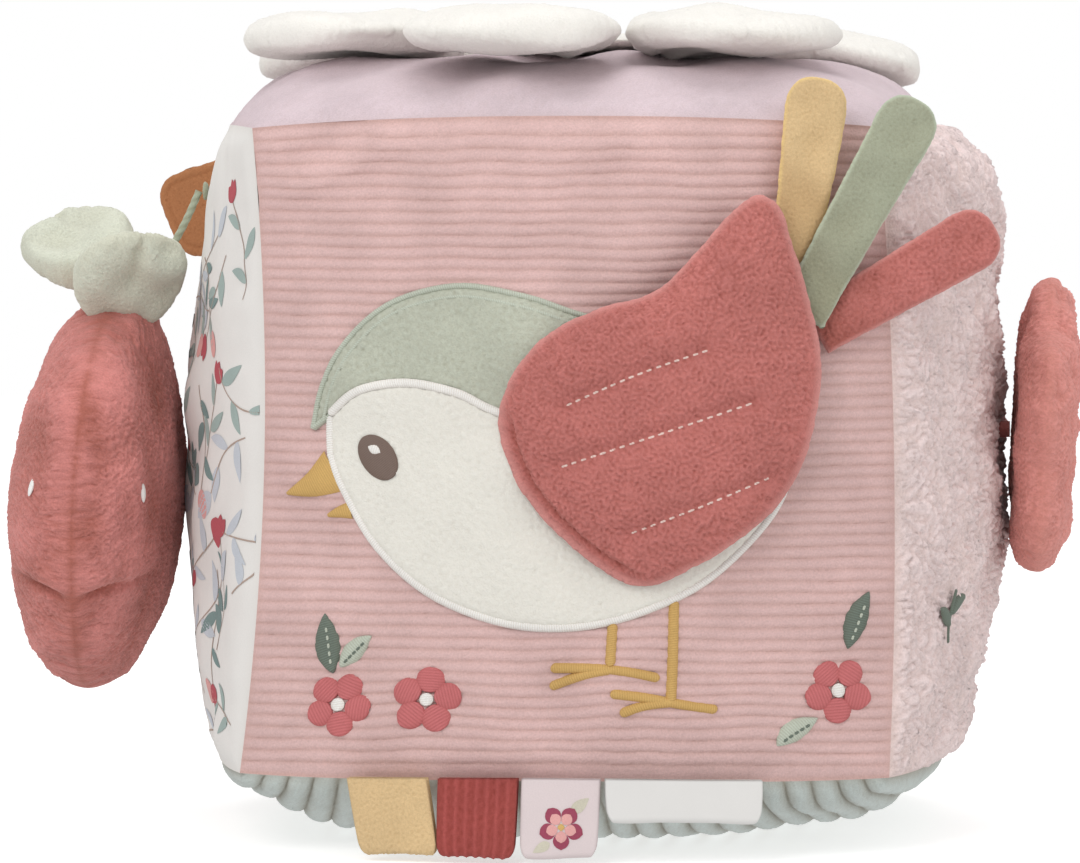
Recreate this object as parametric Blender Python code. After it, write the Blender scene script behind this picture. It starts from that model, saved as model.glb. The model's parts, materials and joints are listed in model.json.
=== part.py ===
"""Soft fabric activity block for a baby.

Six fabric panels are sewn round a foam core with a rattle inside. The front
carries a bird with a padded wing and ribbon tail feathers, the top a flower of
seven puffy petals, the left a hanging strawberry and the right a plush flower.
Units are metres, +Z is up, the block looks towards -Y and rests on z = 0.
"""
import math

import bmesh
import bpy
from mathutils import Matrix, Vector

MM = 0.001

# Block: the sewn cube and how the stuffing swells it
PANEL_WIDTH = 150 * MM
PANEL_DEPTH = 150 * MM
PANEL_HEIGHT = 153 * MM
PANEL_THICKNESS = 2 * MM
SEAM_GAP = 0.3 * MM
BULGE_FRONT = 20 * MM
BULGE_BACK = 21 * MM
BULGE_LEFT = 26 * MM
BULGE_RIGHT = 22.5 * MM
BULGE_TOP = 17 * MM
BULGE_BASE = 15.6 * MM
SEAM_BOW = 14 * MM
SEAM_DRAW = 1.5 * MM
SEAM_SAG = 1.5 * MM
LEAN = 3.5 * MM
BASE_SPREAD_SHARE = 0.02
BASE_RIB_COUNT = 25
BASE_RIB_HEIGHT = 1.6 * MM
BASE_RIB_CREST_SHARES = (0.25, 0.75)
BASE_FLAT_CUT = 0.5 * MM
TOP_FULLNESS = 3
BASE_FULLNESS = 4
FACET_COUNT = 10

# Gap left between pieces that touch on the real block
CLEARANCE = 0.35 * MM

# Core: the rattle pocket
RATTLE_RADIUS = 15 * MM
RATTLE_LENGTH = 32 * MM
RATTLE_WALL = 1.2 * MM
RATTLE_LID = 6 * MM
BEAD_RADIUS = 4 * MM
POCKET_SIDES = 32

# Bird on the front panel, in the flat pattern of the panel
APPLIQUE_THICKNESS = 1 * MM
BIRD_LENGTH = 118 * MM
BIRD_HEIGHT = 78 * MM
BIRD_LEFT = -61 * MM
BIRD_BOTTOM = -39.5 * MM
BIRD_BACK_SHARES = (
    (0, 0.58), (0.035, 0.78), (0.15, 0.945), (0.29, 1), (0.43, 0.975),
    (0.585, 0.905), (0.77, 0.905), (0.95, 0.97),
)
BIRD_DIVIDE_SHARES = (
    (0.035, 0.62), (0.09, 0.695), (0.19, 0.718), (0.29, 0.69), (0.37, 0.635),
    (0.52, 0.57), (0.69, 0.585), (0.83, 0.695), (0.955, 0.83),
)
BIRD_BELLY_SHARES = (
    (0.965, 0.72), (0.945, 0.47), (0.897, 0.31), (0.755, 0.11), (0.585, 0.01),
    (0.43, 0), (0.26, 0.08), (0.135, 0.23), (0.06, 0.4), (0.035, 0.5),
)
EYE_WIDTH = 9.5 * MM
EYE_HEIGHT = 12 * MM
EYE_PLACE_SHARES = (0.14, 0.49)
BEAK_LENGTH = 10.5 * MM
BEAK_HEIGHT = 11 * MM
BEAK_TIP_SHARE = 0.25
BEAK_PLACE_SHARE = 0.37
LEG_WIDTH = 2.2 * MM
NEAR_LEG_LENGTH = 22 * MM
FAR_LEG_LENGTH = 11.5 * MM
FOOT_WIDTH = 24 * MM
FOOT_HEIGHT = 5 * MM
LEG_PLACES = ((24.5 * MM, -35 * MM), (10.5 * MM, -40 * MM))

# Embroidered blossoms and leaves on the front panel
STITCH_THICKNESS = 0.8 * MM
BLOSSOM_RADIUS = 7.2 * MM
BLOSSOM_LOBE_SHARE = 0.15
BLOSSOM_LOBE_COUNT = 5
BLOSSOM_SIDES = 30
BLOSSOM_PLACES = (
    (-50.5 * MM, -59.5 * MM), (-29.5 * MM, -58.5 * MM), (60 * MM, -54.5 * MM),
)
LEAF_LENGTH = 12 * MM
LEAF_WIDTH = 5.5 * MM
LEAF_PLACES = (
    (-57 * MM, -44 * MM, 115), (-47.5 * MM, -45.5 * MM, 65),
    (63 * MM, -38.5 * MM, 80), (51 * MM, -66 * MM, 30),
)

# Wing: a plush pad sewn to the bird along its lower left edge
WING_WIDTH = 75.4 * MM
WING_HEIGHT = 90 * MM
WING_LEFT = -17 * MM
WING_BOTTOM = -30.4 * MM
WING_FRONT_PUFF = 6.5 * MM
WING_BACK_PUFF = 1.5 * MM
WING_RISE = 8 * MM
WING_RISE_SHARE = 0.7
WING_OUTLINE_SHARES = (
    (0.842, 1), (0.902, 0.967), (0.932, 0.89), (0.968, 0.768), (1, 0.617),
    (0.995, 0.5), (0.955, 0.356), (0.896, 0.25), (0.796, 0.155), (0.623, 0.055),
    (0.438, 0), (0.256, 0.082), (0.092, 0.22), (0.016, 0.346), (0, 0.446),
    (0.05, 0.556), (0.145, 0.65), (0.296, 0.727), (0.462, 0.79), (0.623, 0.882),
    (0.756, 0.967),
)
WING_HEM_SHARES = ((0, 0.446), (0.438, 0))
WING_MIDDLE_SHARES = (0.55, 0.45)
COVER_WALL = 1 * MM
FILLING_GAP = 0.4 * MM

# Tail: three ribbon feathers that leave the bird behind the wing
FEATHER_THICKNESS = 2 * MM
TAIL_PLACE = (53 * MM, 27 * MM)
TAIL_TURN = 13
TAIL_LEAN = 3
FEATHERS = (
    ("mustard_feather", "mustard", 9, (1.8 * MM, 38.2 * MM), 21.5 * MM, 13.5 * MM, 0),
    ("sage_feather", "sage", 29.5, (8.3 * MM, 20.1 * MM), 39 * MM, 14.5 * MM, 1),
    ("rose_feather", "rose", 60.5, (12.9 * MM, 6.8 * MM), 37.5 * MM, 12.5 * MM, 0),
)
TAIL_ROOT_REACH = 4 * MM

# Top flower
PETAL_COUNT = 7
PETAL_ROOT_RADIUS = 32 * MM
PETAL_LENGTH = 53 * MM
PETAL_WIDTH = 47 * MM
PETAL_TAPER_SHARE = 0.16
PETAL_THICKNESS = 10 * MM
PETAL_FULLNESS = 5
PETAL_STAND = 4.5 * MM
PETAL_FIRST_ANGLE = -9.4
PETAL_LIFTS = (4, 3, 0, 0, 0, 0, 4)
FLOWER_CENTRE_PUFF = 3 * MM

# Strawberry on the left, hanging from a cord
STRAWBERRY_WIDTH = 86 * MM
STRAWBERRY_HEIGHT = 87.5 * MM
STRAWBERRY_OUTER_PUFF = 22 * MM
STRAWBERRY_INNER_PUFF = 19.5 * MM
STRAWBERRY_TAPER_SHARE = 0.16
STRAWBERRY_FORWARD = 15 * MM
STRAWBERRY_DROP = 15.2 * MM
CROWN_LEAF_LENGTH = 30 * MM
CROWN_LEAF_WIDTH = 27 * MM
CROWN_LEAF_THICKNESS = 9 * MM
CROWN_LEAF_TAPER_SHARE = 0.1
CROWN_LEAF_CORNER_SHARE = 0.8
CROWN_LEAF_RINGS = 3
CROWN_LEAVES = (("back", 130, 52), ("front", 290, 38))
CROWN_LEAF_OFFSET = 2.8 * MM
CROWN_LEAF_SINK = 0.8 * MM
CORD_RADIUS = 1.1 * MM
CORD_TOP_HEIGHT = 62.5 * MM
CORD_SHARES = ((0, 0), (0.16, 0.26), (0.4, 0.55), (0.72, 0.8), (0.94, 0.9), (1, 1))
TACK_WIDTH = 5 * MM
TACK_HEIGHT = 4 * MM
TACK_THICKNESS = 1.4 * MM

# Plush flower on the right
PLUSH_RADIUS = 37.5 * MM
PLUSH_LOBE = 5 * MM
PLUSH_PUFF = 7.5 * MM
PLUSH_FULLNESS = 5
PLUSH_LOBE_COUNT = 5
PLUSH_FORWARD = 8 * MM
PLUSH_RAISE = 3.5 * MM
PLUSH_TILT = 3
SHANK_RADIUS = 2 * MM
PILE_DEPTH = 2 * MM
SHANK_LENGTH = PILE_DEPTH + 0.7 * MM
SHANK_GAP = 0.6 * MM

# Tabs sewn into the seams
TAB_WALL = 1.1 * MM
TAB_THICKNESS = 3 * MM
TAB_STAND = 0.3 * MM
TAB_SLANT = 6
FRONT_TABS = (
    ("mustard_tab", "mustard", -36.8 * MM, 19.5 * MM, 16 * MM),
    ("corduroy_tab", "cherry", -17.6 * MM, 18.5 * MM, 16.5 * MM),
    ("print_tab", "white_cotton", 0.8 * MM, 18 * MM, 16.5 * MM),
    ("blank_label", "white_satin", 28 * MM, 35 * MM, 9.5 * MM),
)
SIDE_TAB_WIDTH = 28 * MM
SIDE_TAB_LENGTH = 44 * MM
SIDE_TAB_THICKNESS = 2.5 * MM
SIDE_TAB_PINCH = 3 * MM
SIDE_TAB_ROOT_THICKNESS = 0.8 * MM
SIDE_TAB_TURN = 12
SIDE_TAB_HEIGHT_SHARE = 0.8

HALF_WIDTH = PANEL_WIDTH / 2
HALF_DEPTH = PANEL_DEPTH / 2
HALF_HEIGHT = PANEL_HEIGHT / 2
CENTRE_HEIGHT = HALF_HEIGHT + BULGE_BASE + BASE_RIB_HEIGHT - BASE_FLAT_CUT
THICKNESS_SHARE = PANEL_THICKNESS / HALF_WIDTH
SEAM_SHARE = SEAM_GAP / HALF_WIDTH

COLOURS = {
    "pink_rib": (0.72, 0.43, 0.42), "lilac": (0.70, 0.60, 0.69),
    "cream": (0.86, 0.82, 0.76), "sage": (0.42, 0.50, 0.36),
    "light_sage": (0.56, 0.62, 0.48), "mustard": (0.72, 0.48, 0.18),
    "rose": (0.55, 0.14, 0.15), "cherry": (0.40, 0.06, 0.08),
    "caramel": (0.44, 0.16, 0.06), "sherpa": (0.74, 0.62, 0.60),
    "white_cotton": (0.84, 0.83, 0.80), "white_satin": (0.90, 0.89, 0.87),
    "grey_green": (0.36, 0.42, 0.39), "leaf_green": (0.20, 0.27, 0.22),
    "brown": (0.12, 0.08, 0.07), "foam": (0.80, 0.78, 0.70),
    "wadding": (0.86, 0.86, 0.84), "plastic": (0.75, 0.80, 0.82),
}

FACES = {
    "front": (1, -1), "back": (1, 1), "left": (0, -1),
    "right": (0, 1), "top": (2, 1), "base": (2, -1),
}


def clear_scene():
    for thing in list(bpy.data.objects):
        bpy.data.objects.remove(thing, do_unlink=True)


def material(name):
    found = bpy.data.materials.get(name)
    if found:
        return found
    made = bpy.data.materials.new(name)
    made.use_nodes = True
    shader = made.node_tree.nodes["Principled BSDF"]
    shader.inputs["Base Color"].default_value = (*COLOURS[name], 1)
    shader.inputs["Roughness"].default_value = 0.35 if name == "plastic" else 0.9
    shader.inputs["Metallic"].default_value = 0
    return made


def pivot(name, place, x_axis, z_hint):
    """Empty on a joint: its local X is the hinge line."""
    x_axis = x_axis.normalized()
    y_axis = z_hint.cross(x_axis).normalized()
    z_axis = x_axis.cross(y_axis)
    turn = Matrix((x_axis, y_axis, z_axis)).transposed().to_4x4()
    empty = bpy.data.objects.new(name, None)
    empty.matrix_world = Matrix.Translation(place) @ turn
    bpy.context.scene.collection.objects.link(empty)
    bpy.context.view_layer.update()
    return empty


def finish(name, bm, look, parent=None):
    """Turn a bmesh in world coordinates into a named, parented object."""
    bmesh.ops.recalc_face_normals(bm, faces=bm.faces)
    if parent:
        bm.transform(parent.matrix_world.inverted())
    mesh = bpy.data.meshes.new(name)
    bm.to_mesh(mesh)
    bm.free()
    mesh.shade_smooth()
    mesh.set_sharp_from_angle(angle=math.radians(40))
    mesh.materials.append(material(look))
    thing = bpy.data.objects.new(name, mesh)
    bpy.context.scene.collection.objects.link(thing)
    if parent:
        thing.parent = parent
    return thing


def smooth_run(points, steps):
    """Points along a smooth curve through the given ones."""
    out = []
    for i in range(len(points) - 1):
        before = points[max(i - 1, 0)]
        after = points[min(i + 2, len(points) - 1)]
        for k in range(steps):
            out.append(curve_point(before, points[i], points[i + 1], after, k / steps))
    out.append(tuple(points[-1]))
    return out


def smooth_loop(points, steps):
    out = []
    count = len(points)
    for i in range(count):
        four = [points[(i + k) % count] for k in (-1, 0, 1, 2)]
        for k in range(steps):
            out.append(curve_point(*four, k / steps))
    return out


def curve_point(p0, p1, p2, p3, t):
    """Catmull-Rom point between p1 and p2."""
    return tuple(
        0.5 * (2 * b + (c - a) * t + (2 * a - 5 * b + 4 * c - d) * t ** 2
               + (3 * b - a - 3 * c + d) * t ** 3)
        for a, b, c, d in zip(p0, p1, p2, p3))


# The stuffed block

def dome_share(across, fullness):
    """Share of a bulge's height, from 1 at the middle to 0 at the seam."""
    return 1 - abs(across) ** fullness


def block_point(a, b, c):
    """Place of the unit cube's point (a, b, c) in the stuffed block."""
    across, along, up = 1 - a * a, 1 - b * b, 1 - c * c
    spread = 1 - BASE_SPREAD_SHARE * c
    bulge_x = BULGE_LEFT if a < 0 else BULGE_RIGHT
    bulge_y = BULGE_FRONT if b < 0 else BULGE_BACK
    reach_x = HALF_WIDTH * spread + bulge_x * along * up
    reach_x += SEAM_BOW * along * c * c - SEAM_DRAW * up * b * b
    reach_y = HALF_DEPTH * spread + bulge_y * across * up
    reach_y += SEAM_BOW * across * c * c - SEAM_DRAW * up * a * a
    if c > 0:
        crown = BULGE_TOP * dome_share(a, TOP_FULLNESS) * dome_share(b, TOP_FULLNESS)
    else:
        crown = BULGE_BASE * dome_share(a, BASE_FULLNESS) * dome_share(b, BASE_FULLNESS)
    reach_z = HALF_HEIGHT + crown - SEAM_SAG * (across * b * b + along * a * a)
    return Vector((a * reach_x + LEAN * up, b * reach_y, c * reach_z + CENTRE_HEIGHT))


def face_point(face, depth, u, v):
    """Point of a face of the unit cube, pulled in to a share of its depth."""
    axis, side = FACES[face]
    unit = [u, v]
    unit.insert(axis, side * depth)
    return block_point(*unit)


def facet_lines():
    return [-1 + 2 * i / FACET_COUNT for i in range(FACET_COUNT + 1)]


def add_grid(bm, place, us, vs):
    rows = [[bm.verts.new(place(u, v)) for v in vs] for u in us]
    for i in range(len(us) - 1):
        for j in range(len(vs) - 1):
            near, far = rows[i][j], rows[i + 1][j + 1]
            bm.faces.new((near, rows[i + 1][j], far))
            bm.faces.new((near, far, rows[i][j + 1]))
    return rows


def grid_rims(rows, us, vs):
    """The four edges of a grid, as lists of parameter and vertex."""
    return (
        list(zip(us, (row[0] for row in rows))), list(zip(us, (row[-1] for row in rows))),
        list(zip(vs, rows[0])), list(zip(vs, rows[-1])),
    )


def zip_strip(bm, first, second):
    """Join two polylines that run side by side with triangles."""
    i = j = 0
    while i + 1 < len(first) or j + 1 < len(second):
        if j + 1 == len(second) or (i + 1 < len(first) and first[i + 1][0] <= second[j + 1][0]):
            bm.faces.new((first[i][1], second[j][1], first[i + 1][1]))
            i += 1
        else:
            bm.faces.new((first[i][1], second[j][1], second[j + 1][1]))
            j += 1


def rib_lines():
    """Lines across the base: a valley and the two sides of a crest for each rib."""
    lines = []
    for i in range(BASE_RIB_COUNT):
        lines.append((-1 + 2 * i / BASE_RIB_COUNT, 0))
        for share in BASE_RIB_CREST_SHARES:
            lines.append((-1 + 2 * (i + share) / BASE_RIB_COUNT, 1))
    lines.append((1, 0))
    return lines


def build_panel(name, face, look):
    """A fabric panel, mitred at its seams; the base has sewn ribs, cut flat below."""
    bm = bmesh.new()
    lines = facet_lines()
    outer_share = 1 - SEAM_SHARE
    inner_share = 1 - SEAM_SHARE - THICKNESS_SHARE
    ribs = dict(rib_lines()) if face == "base" else {}
    columns = list(ribs) or lines

    def outside(u, v):
        point = face_point(face, 1, u * outer_share, v * outer_share)
        if ribs:
            point.z = max(0, point.z - BASE_RIB_HEIGHT * ribs[u])
        return point

    def inside(u, v):
        return face_point(face, 1 - THICKNESS_SHARE, u * inner_share, v * inner_share)

    outer = grid_rims(add_grid(bm, outside, columns, lines), columns, lines)
    inner = grid_rims(add_grid(bm, inside, lines, lines), lines, lines)
    for outer_rim, inner_rim in zip(outer, inner):
        zip_strip(bm, outer_rim, inner_rim)
    finish(name, bm, look)


def build_core():
    """Foam core that fills the panels, bored from the back for the rattle."""
    bm = bmesh.new()
    reach = 1 - THICKNESS_SHARE - 2 * SEAM_SHARE
    made = {}

    def corner(i, j, k):
        if (i, j, k) not in made:
            unit = (reach * (-1 + 2 * n / FACET_COUNT) for n in (i, j, k))
            made[i, j, k] = bm.verts.new(block_point(*unit))
        return made[i, j, k]

    for axis in range(3):
        for end in (0, FACET_COUNT):
            for i in range(FACET_COUNT):
                for j in range(FACET_COUNT):
                    cell = [[i, j], [i + 1, j], [i + 1, j + 1], [i, j + 1]]
                    for spot in cell:
                        spot.insert(axis, end)
                    ring = [corner(*spot) for spot in cell]
                    bm.faces.new((ring[0], ring[1], ring[2]))
                    bm.faces.new((ring[0], ring[2], ring[3]))
    core = finish("foam_core", bm, "foam")
    cutter = bore_cutter()
    bore = core.modifiers.new("rattle pocket", "BOOLEAN")
    bore.operation = "DIFFERENCE"
    bore.object = cutter


def pocket_radius():
    return RATTLE_RADIUS + CLEARANCE


def rattle_front():
    """How far back the rattle starts, so that it sits at the block's middle."""
    return -RATTLE_LENGTH / 2


def turned(bm, profile, centre, sides=POCKET_SIDES):
    """Spin a closed profile of (radius, along) pairs round a line along Y."""
    rings = []
    for radius, along in profile:
        if radius == 0:
            rings.append([bm.verts.new(centre + Vector((0, along, 0)))])
            continue
        rings.append([
            bm.verts.new(centre + Vector((
                radius * math.cos(2 * math.pi * k / sides), along,
                radius * math.sin(2 * math.pi * k / sides))))
            for k in range(sides)])
    for one, two in zip(rings, rings[1:]):
        join_rings(bm, one, two)


def join_rings(bm, one, two):
    count = max(len(one), len(two))
    for k in range(count):
        corners = [one[k % len(one)], one[(k + 1) % len(one)],
                   two[(k + 1) % len(two)], two[k % len(two)]]
        unique = list(dict.fromkeys(corners))
        bm.faces.new(unique)


def core_middle():
    return Vector((LEAN, 0, CENTRE_HEIGHT))


def bore_cutter():
    bm = bmesh.new()
    far = HALF_DEPTH + BULGE_BACK + PANEL_THICKNESS
    start = rattle_front() - CLEARANCE
    profile = ((0, start), (pocket_radius(), start), (pocket_radius(), far), (0, far))
    turned(bm, profile, core_middle())
    cutter = finish("pocket_cutter", bm, "foam")
    cutter.hide_render = True
    cutter.display_type = "WIRE"
    return cutter


def build_rattle():
    """A plastic capsule of a cup and a lid, with a bead in it."""
    start = rattle_front()
    seam = start + RATTLE_LENGTH - RATTLE_LID
    inner = RATTLE_RADIUS - RATTLE_WALL
    floor = start + RATTLE_WALL
    cup = bmesh.new()
    turned(cup, ((0, start), (RATTLE_RADIUS, start), (RATTLE_RADIUS, seam),
                 (inner, seam), (inner, floor), (0, floor)), core_middle())
    finish("rattle_cup", cup, "plastic")
    lid = bmesh.new()
    lip = seam + SEAM_GAP
    end = start + RATTLE_LENGTH
    ceiling = end - RATTLE_WALL
    turned(lid, ((0, ceiling), (inner, ceiling), (inner, lip), (RATTLE_RADIUS, lip),
                 (RATTLE_RADIUS, end), (0, end)), core_middle())
    finish("rattle_lid", lid, "plastic")
    bead = bmesh.new()
    bmesh.ops.create_uvsphere(bead, u_segments=12, v_segments=8, radius=BEAD_RADIUS)
    low = core_middle() - Vector((0, 0, inner * math.cos(math.pi / POCKET_SIDES)))
    bmesh.ops.translate(bead, verts=bead.verts, vec=low + Vector((0, 0, BEAD_RADIUS + SEAM_GAP)))
    finish("rattle_bead", bead, "plastic")
    plug = bmesh.new()
    near = end + CLEARANCE
    rim = core_back_reach() - CLEARANCE
    turned(plug, ((0, near), (RATTLE_RADIUS, near), (RATTLE_RADIUS, rim), (0, rim)),
           core_middle())
    finish("foam_plug", plug, "foam")


def core_back_reach():
    """The core's back face at the rim of the pocket."""
    reach = 1 - THICKNESS_SHARE - 2 * SEAM_SHARE
    share = pocket_radius() / HALF_WIDTH + 1 / FACET_COUNT
    return block_point(share, reach, 0).y


# Pieces that lie on the front panel

def front_facet(x, z):
    """Point of the front panel's faceted face over place x, z of its flat pattern."""
    spots = []
    for value, half in ((x, HALF_WIDTH), (z, HALF_HEIGHT)):
        place = (value / half + 1) * FACET_COUNT / 2
        index = min(max(math.floor(place), 0), FACET_COUNT - 1)
        spots.append((index, place - index))
    (i, across), (j, up) = spots
    lines = facet_lines()

    def node(m, n):
        share = 1 - SEAM_SHARE
        return face_point("front", 1, lines[m] * share, lines[n] * share)

    start, end = node(i, j), node(i + 1, j + 1)
    if across >= up:
        middle = node(i + 1, j)
        return start + (middle - start) * across + (end - middle) * up
    middle = node(i, j + 1)
    return start + (middle - start) * up + (end - middle) * across


def front_place(x, z, height):
    return front_facet(x, z) - Vector((0, height, 0))


def cut_along_facets(outline):
    """Fill a flat outline and cut it where the panel under it bends."""
    bm = bmesh.new()
    bm.faces.new([bm.verts.new((x, z, 0)) for x, z in outline])
    lines = facet_lines()
    slope = Vector((HALF_HEIGHT, -HALF_WIDTH, 0))
    planes = []
    for line in lines:
        planes.append((Vector((line * HALF_WIDTH, 0, 0)), Vector((1, 0, 0))))
        planes.append((Vector((0, line * HALF_HEIGHT, 0)), Vector((0, 1, 0))))
        planes.append((Vector((line * HALF_WIDTH, -HALF_HEIGHT, 0)), slope))
        planes.append((Vector((-HALF_WIDTH, line * HALF_HEIGHT, 0)), slope))
    for spot, normal in planes:
        parts = bm.verts[:] + bm.edges[:] + bm.faces[:]
        bmesh.ops.bisect_plane(bm, geom=parts, dist=CLEARANCE / 50, plane_co=spot,
                               plane_no=normal.normalized())
    bmesh.ops.remove_doubles(bm, verts=bm.verts, dist=CLEARANCE / 10)
    bmesh.ops.triangulate(bm, faces=bm.faces)
    return bm


def sheet_on_front(name, outline, lower, thickness, look):
    """A flat piece of fabric or stitching that follows the front panel."""
    flat = cut_along_facets(outline)
    bm = bmesh.new()
    under = {v: bm.verts.new(front_place(v.co.x, v.co.y, lower)) for v in flat.verts}
    over = {v: bm.verts.new(front_place(v.co.x, v.co.y, lower + thickness)) for v in flat.verts}
    for face in flat.faces:
        bm.faces.new([over[v] for v in face.verts])
        bm.faces.new([under[v] for v in reversed(face.verts)])
    for edge in flat.edges:
        if len(edge.link_faces) == 1:
            one, two = edge.verts
            bm.faces.new((under[one], under[two], over[two], over[one]))
    flat.free()
    finish(name, bm, look)


def bird_place(share_x, share_z):
    return (BIRD_LEFT + share_x * BIRD_LENGTH, BIRD_BOTTOM + share_z * BIRD_HEIGHT)


def bird_run(shares, rise=0.0):
    run = smooth_run([bird_place(*pair) for pair in shares], 2)
    return [(x, z + rise) for x, z in run]


def oval(centre, width, height, count):
    return [
        (centre[0] + width / 2 * math.cos(2 * math.pi * k / count),
         centre[1] + height / 2 * math.sin(2 * math.pi * k / count))
        for k in range(count)]


def build_bird():
    on_panel = CLEARANCE
    on_body = on_panel + APPLIQUE_THICKNESS + CLEARANCE
    cap = bird_run(BIRD_BACK_SHARES) + bird_run(BIRD_DIVIDE_SHARES, CLEARANCE / 2)[::-1]
    sheet_on_front("bird_back", cap, on_panel, APPLIQUE_THICKNESS, "sage")
    belly = bird_run(BIRD_DIVIDE_SHARES, -CLEARANCE / 2) + bird_run(BIRD_BELLY_SHARES)
    sheet_on_front("bird_belly", belly, on_panel, APPLIQUE_THICKNESS, "cream")
    eye = oval(bird_place(*EYE_PLACE_SHARES), EYE_WIDTH, EYE_HEIGHT, 16)
    sheet_on_front("bird_eye", eye, on_body, STITCH_THICKNESS, "brown")
    sheet_on_front("bird_beak", beak_outline(), on_panel, STITCH_THICKNESS, "mustard")
    lengths = (NEAR_LEG_LENGTH, FAR_LEG_LENGTH)
    for name, place, length in zip(("bird_near_leg", "bird_far_leg"), LEG_PLACES, lengths):
        sheet_on_front(name, leg_outline(place, length), on_panel, STITCH_THICKNESS, "mustard")


def beak_outline():
    """A plain pointed beak against the left edge of the face."""
    root_z = bird_place(0, BEAK_PLACE_SHARE)[1]
    edge = bird_place(BIRD_BELLY_SHARES[-1][0], 0)[0] - CLEARANCE
    return [
        (edge, root_z), (edge, root_z + BEAK_HEIGHT),
        (edge - BEAK_LENGTH, root_z + BEAK_HEIGHT * BEAK_TIP_SHARE),
    ]


def leg_outline(place, length):
    """A leg with three toes, as shares of the foot about the ankle."""
    x, z = place
    half = LEG_WIDTH / 2
    ankle = z - length
    toe_shares = (
        (0.5, -0.35), (0.5, -0.75), (0.12, -0.5), (0.06, -1), (-0.06, -1),
        (-0.12, -0.5), (-0.5, -0.75), (-0.5, -0.35),
    )
    toes = [(x + sx * FOOT_WIDTH, ankle + sz * FOOT_HEIGHT) for sx, sz in toe_shares]
    return [(x - half, z), (x + half, z), (x + half, ankle)] + toes + [(x - half, ankle)]


def build_embroidery():
    for index, place in enumerate(BLOSSOM_PLACES):
        outline = []
        for k in range(BLOSSOM_SIDES):
            angle = 2 * math.pi * k / BLOSSOM_SIDES
            lobe = BLOSSOM_LOBE_SHARE * (1 - math.cos(BLOSSOM_LOBE_COUNT * angle))
            radius = BLOSSOM_RADIUS * (1 - lobe)
            outline.append((place[0] + radius * math.sin(angle),
                            place[1] + radius * math.cos(angle)))
        sheet_on_front(f"blossom_{index + 1}", outline, CLEARANCE, STITCH_THICKNESS, "rose")
    for index, (x, z, angle) in enumerate(LEAF_PLACES):
        outline = lens_outline((x, z), LEAF_LENGTH, LEAF_WIDTH, math.radians(angle))
        sheet_on_front(f"leaf_{index + 1}", outline, CLEARANCE, STITCH_THICKNESS, "leaf_green")


def lens_outline(centre, length, width, angle):
    """A pointed oval."""
    count = 6
    edge = [(length * (k / count - 0.5), width / 2 * math.sin(math.pi * k / count))
            for k in range(count)]
    edge += [(-x, -y) for x, y in edge]
    turn = Matrix.Rotation(angle, 2)
    return [tuple(Vector(centre) + turn @ Vector(point)) for point in edge]


# Pads: puffed pieces built from rings round a middle

def ring_levels(count, fullness=2):
    """Share of the outline and share of the puff for each ring, from the middle out."""
    reaches = [math.sin(math.pi / 2 * k / count) for k in range(count + 1)]
    return [(reach, math.sqrt(1 - reach ** fullness)) for reach in reaches]


def pad_surface(bm, outline, middle, place, height, inset=0.0, rings=4, fullness=2):
    """Half of a pad, from its middle to its rim; returns the rim's vertices."""
    loops = []
    for reach, puff in ring_levels(rings, fullness):
        if reach == 0:
            loops.append([bm.verts.new(place(*middle, height * puff))])
            continue
        loop = []
        for x, y in outline:
            off = Vector((x - middle[0], y - middle[1]))
            off *= reach * (1 - inset / off.length)
            lift = height * puff if reach < 1 else 0
            loop.append(bm.verts.new(place(middle[0] + off.x, middle[1] + off.y, lift)))
        loops.append(loop)
    for one, two in zip(loops, loops[1:]):
        triangle_ring(bm, one, two)
    return loops[-1]


def triangle_ring(bm, one, two):
    count = len(two)
    for k in range(count):
        after = (k + 1) % count
        if len(one) == 1:
            bm.faces.new((one[0], two[k], two[after]))
        else:
            bm.faces.new((one[k], two[k], two[after]))
            bm.faces.new((one[k], two[after], one[after]))


def solid_pad(name, outline, middle, place, front, back, look, parent, inset=0.0, rings=4,
              fullness=2):
    """A pad in one piece, puffed to the front and back of its rim."""
    bm = bmesh.new()
    one = pad_surface(bm, outline, middle, place, front, inset, rings, fullness)
    two = pad_surface(bm, outline, middle, place, -back, inset, rings, fullness)
    bmesh.ops.weld_verts(bm, targetmap=dict(zip(two, one)))
    return finish(name, bm, look, parent)


def cover_half(name, outline, middle, place, puff, side, look, parent, rings=4, fullness=2):
    """One sewn half of a pad's cover: a shell that ends at the seam."""

    def raised(x, y, height):
        return place(x, y, side * (height + SEAM_GAP / 2))

    bm = bmesh.new()
    outer = pad_surface(bm, outline, middle, raised, puff, 0.0, rings, fullness)
    inner = pad_surface(bm, outline, middle, raised, puff - COVER_WALL, COVER_WALL, rings,
                        fullness)
    triangle_ring(bm, inner, outer)
    finish(name, bm, look, parent)


def covered_pad(names, outline, middle, place, puffs, look, parent, rings=4, fullness=2):
    """A pad of two cover halves and the wadding in them."""
    front, back, filling = names
    cover_half(front, outline, middle, place, puffs[0], 1, look, parent, rings, fullness)
    cover_half(back, outline, middle, place, puffs[1], -1, look, parent, rings, fullness)
    inset = COVER_WALL + FILLING_GAP
    solid_pad(filling, outline, middle, place, puffs[0] - inset, puffs[1] - inset,
              "wadding", parent, inset, rings, fullness)


# Wing

def wing_place(share_x, share_z):
    return Vector((WING_LEFT + share_x * WING_WIDTH, WING_BOTTOM + share_z * WING_HEIGHT))


def wing_hem():
    """The line that touches the sewn edge of the wing, and the way off it."""
    start, end = (wing_place(*pair) for pair in WING_HEM_SHARES)
    along = (end - start).normalized()
    away = Vector((-along.y, along.x))
    outline = [wing_place(*pair) for pair in WING_OUTLINE_SHARES]
    least = min((point - start).dot(away) for point in outline)
    reach = max((point - start).dot(away) for point in outline) - least
    return start + away * least, end + away * least, away, reach


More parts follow.
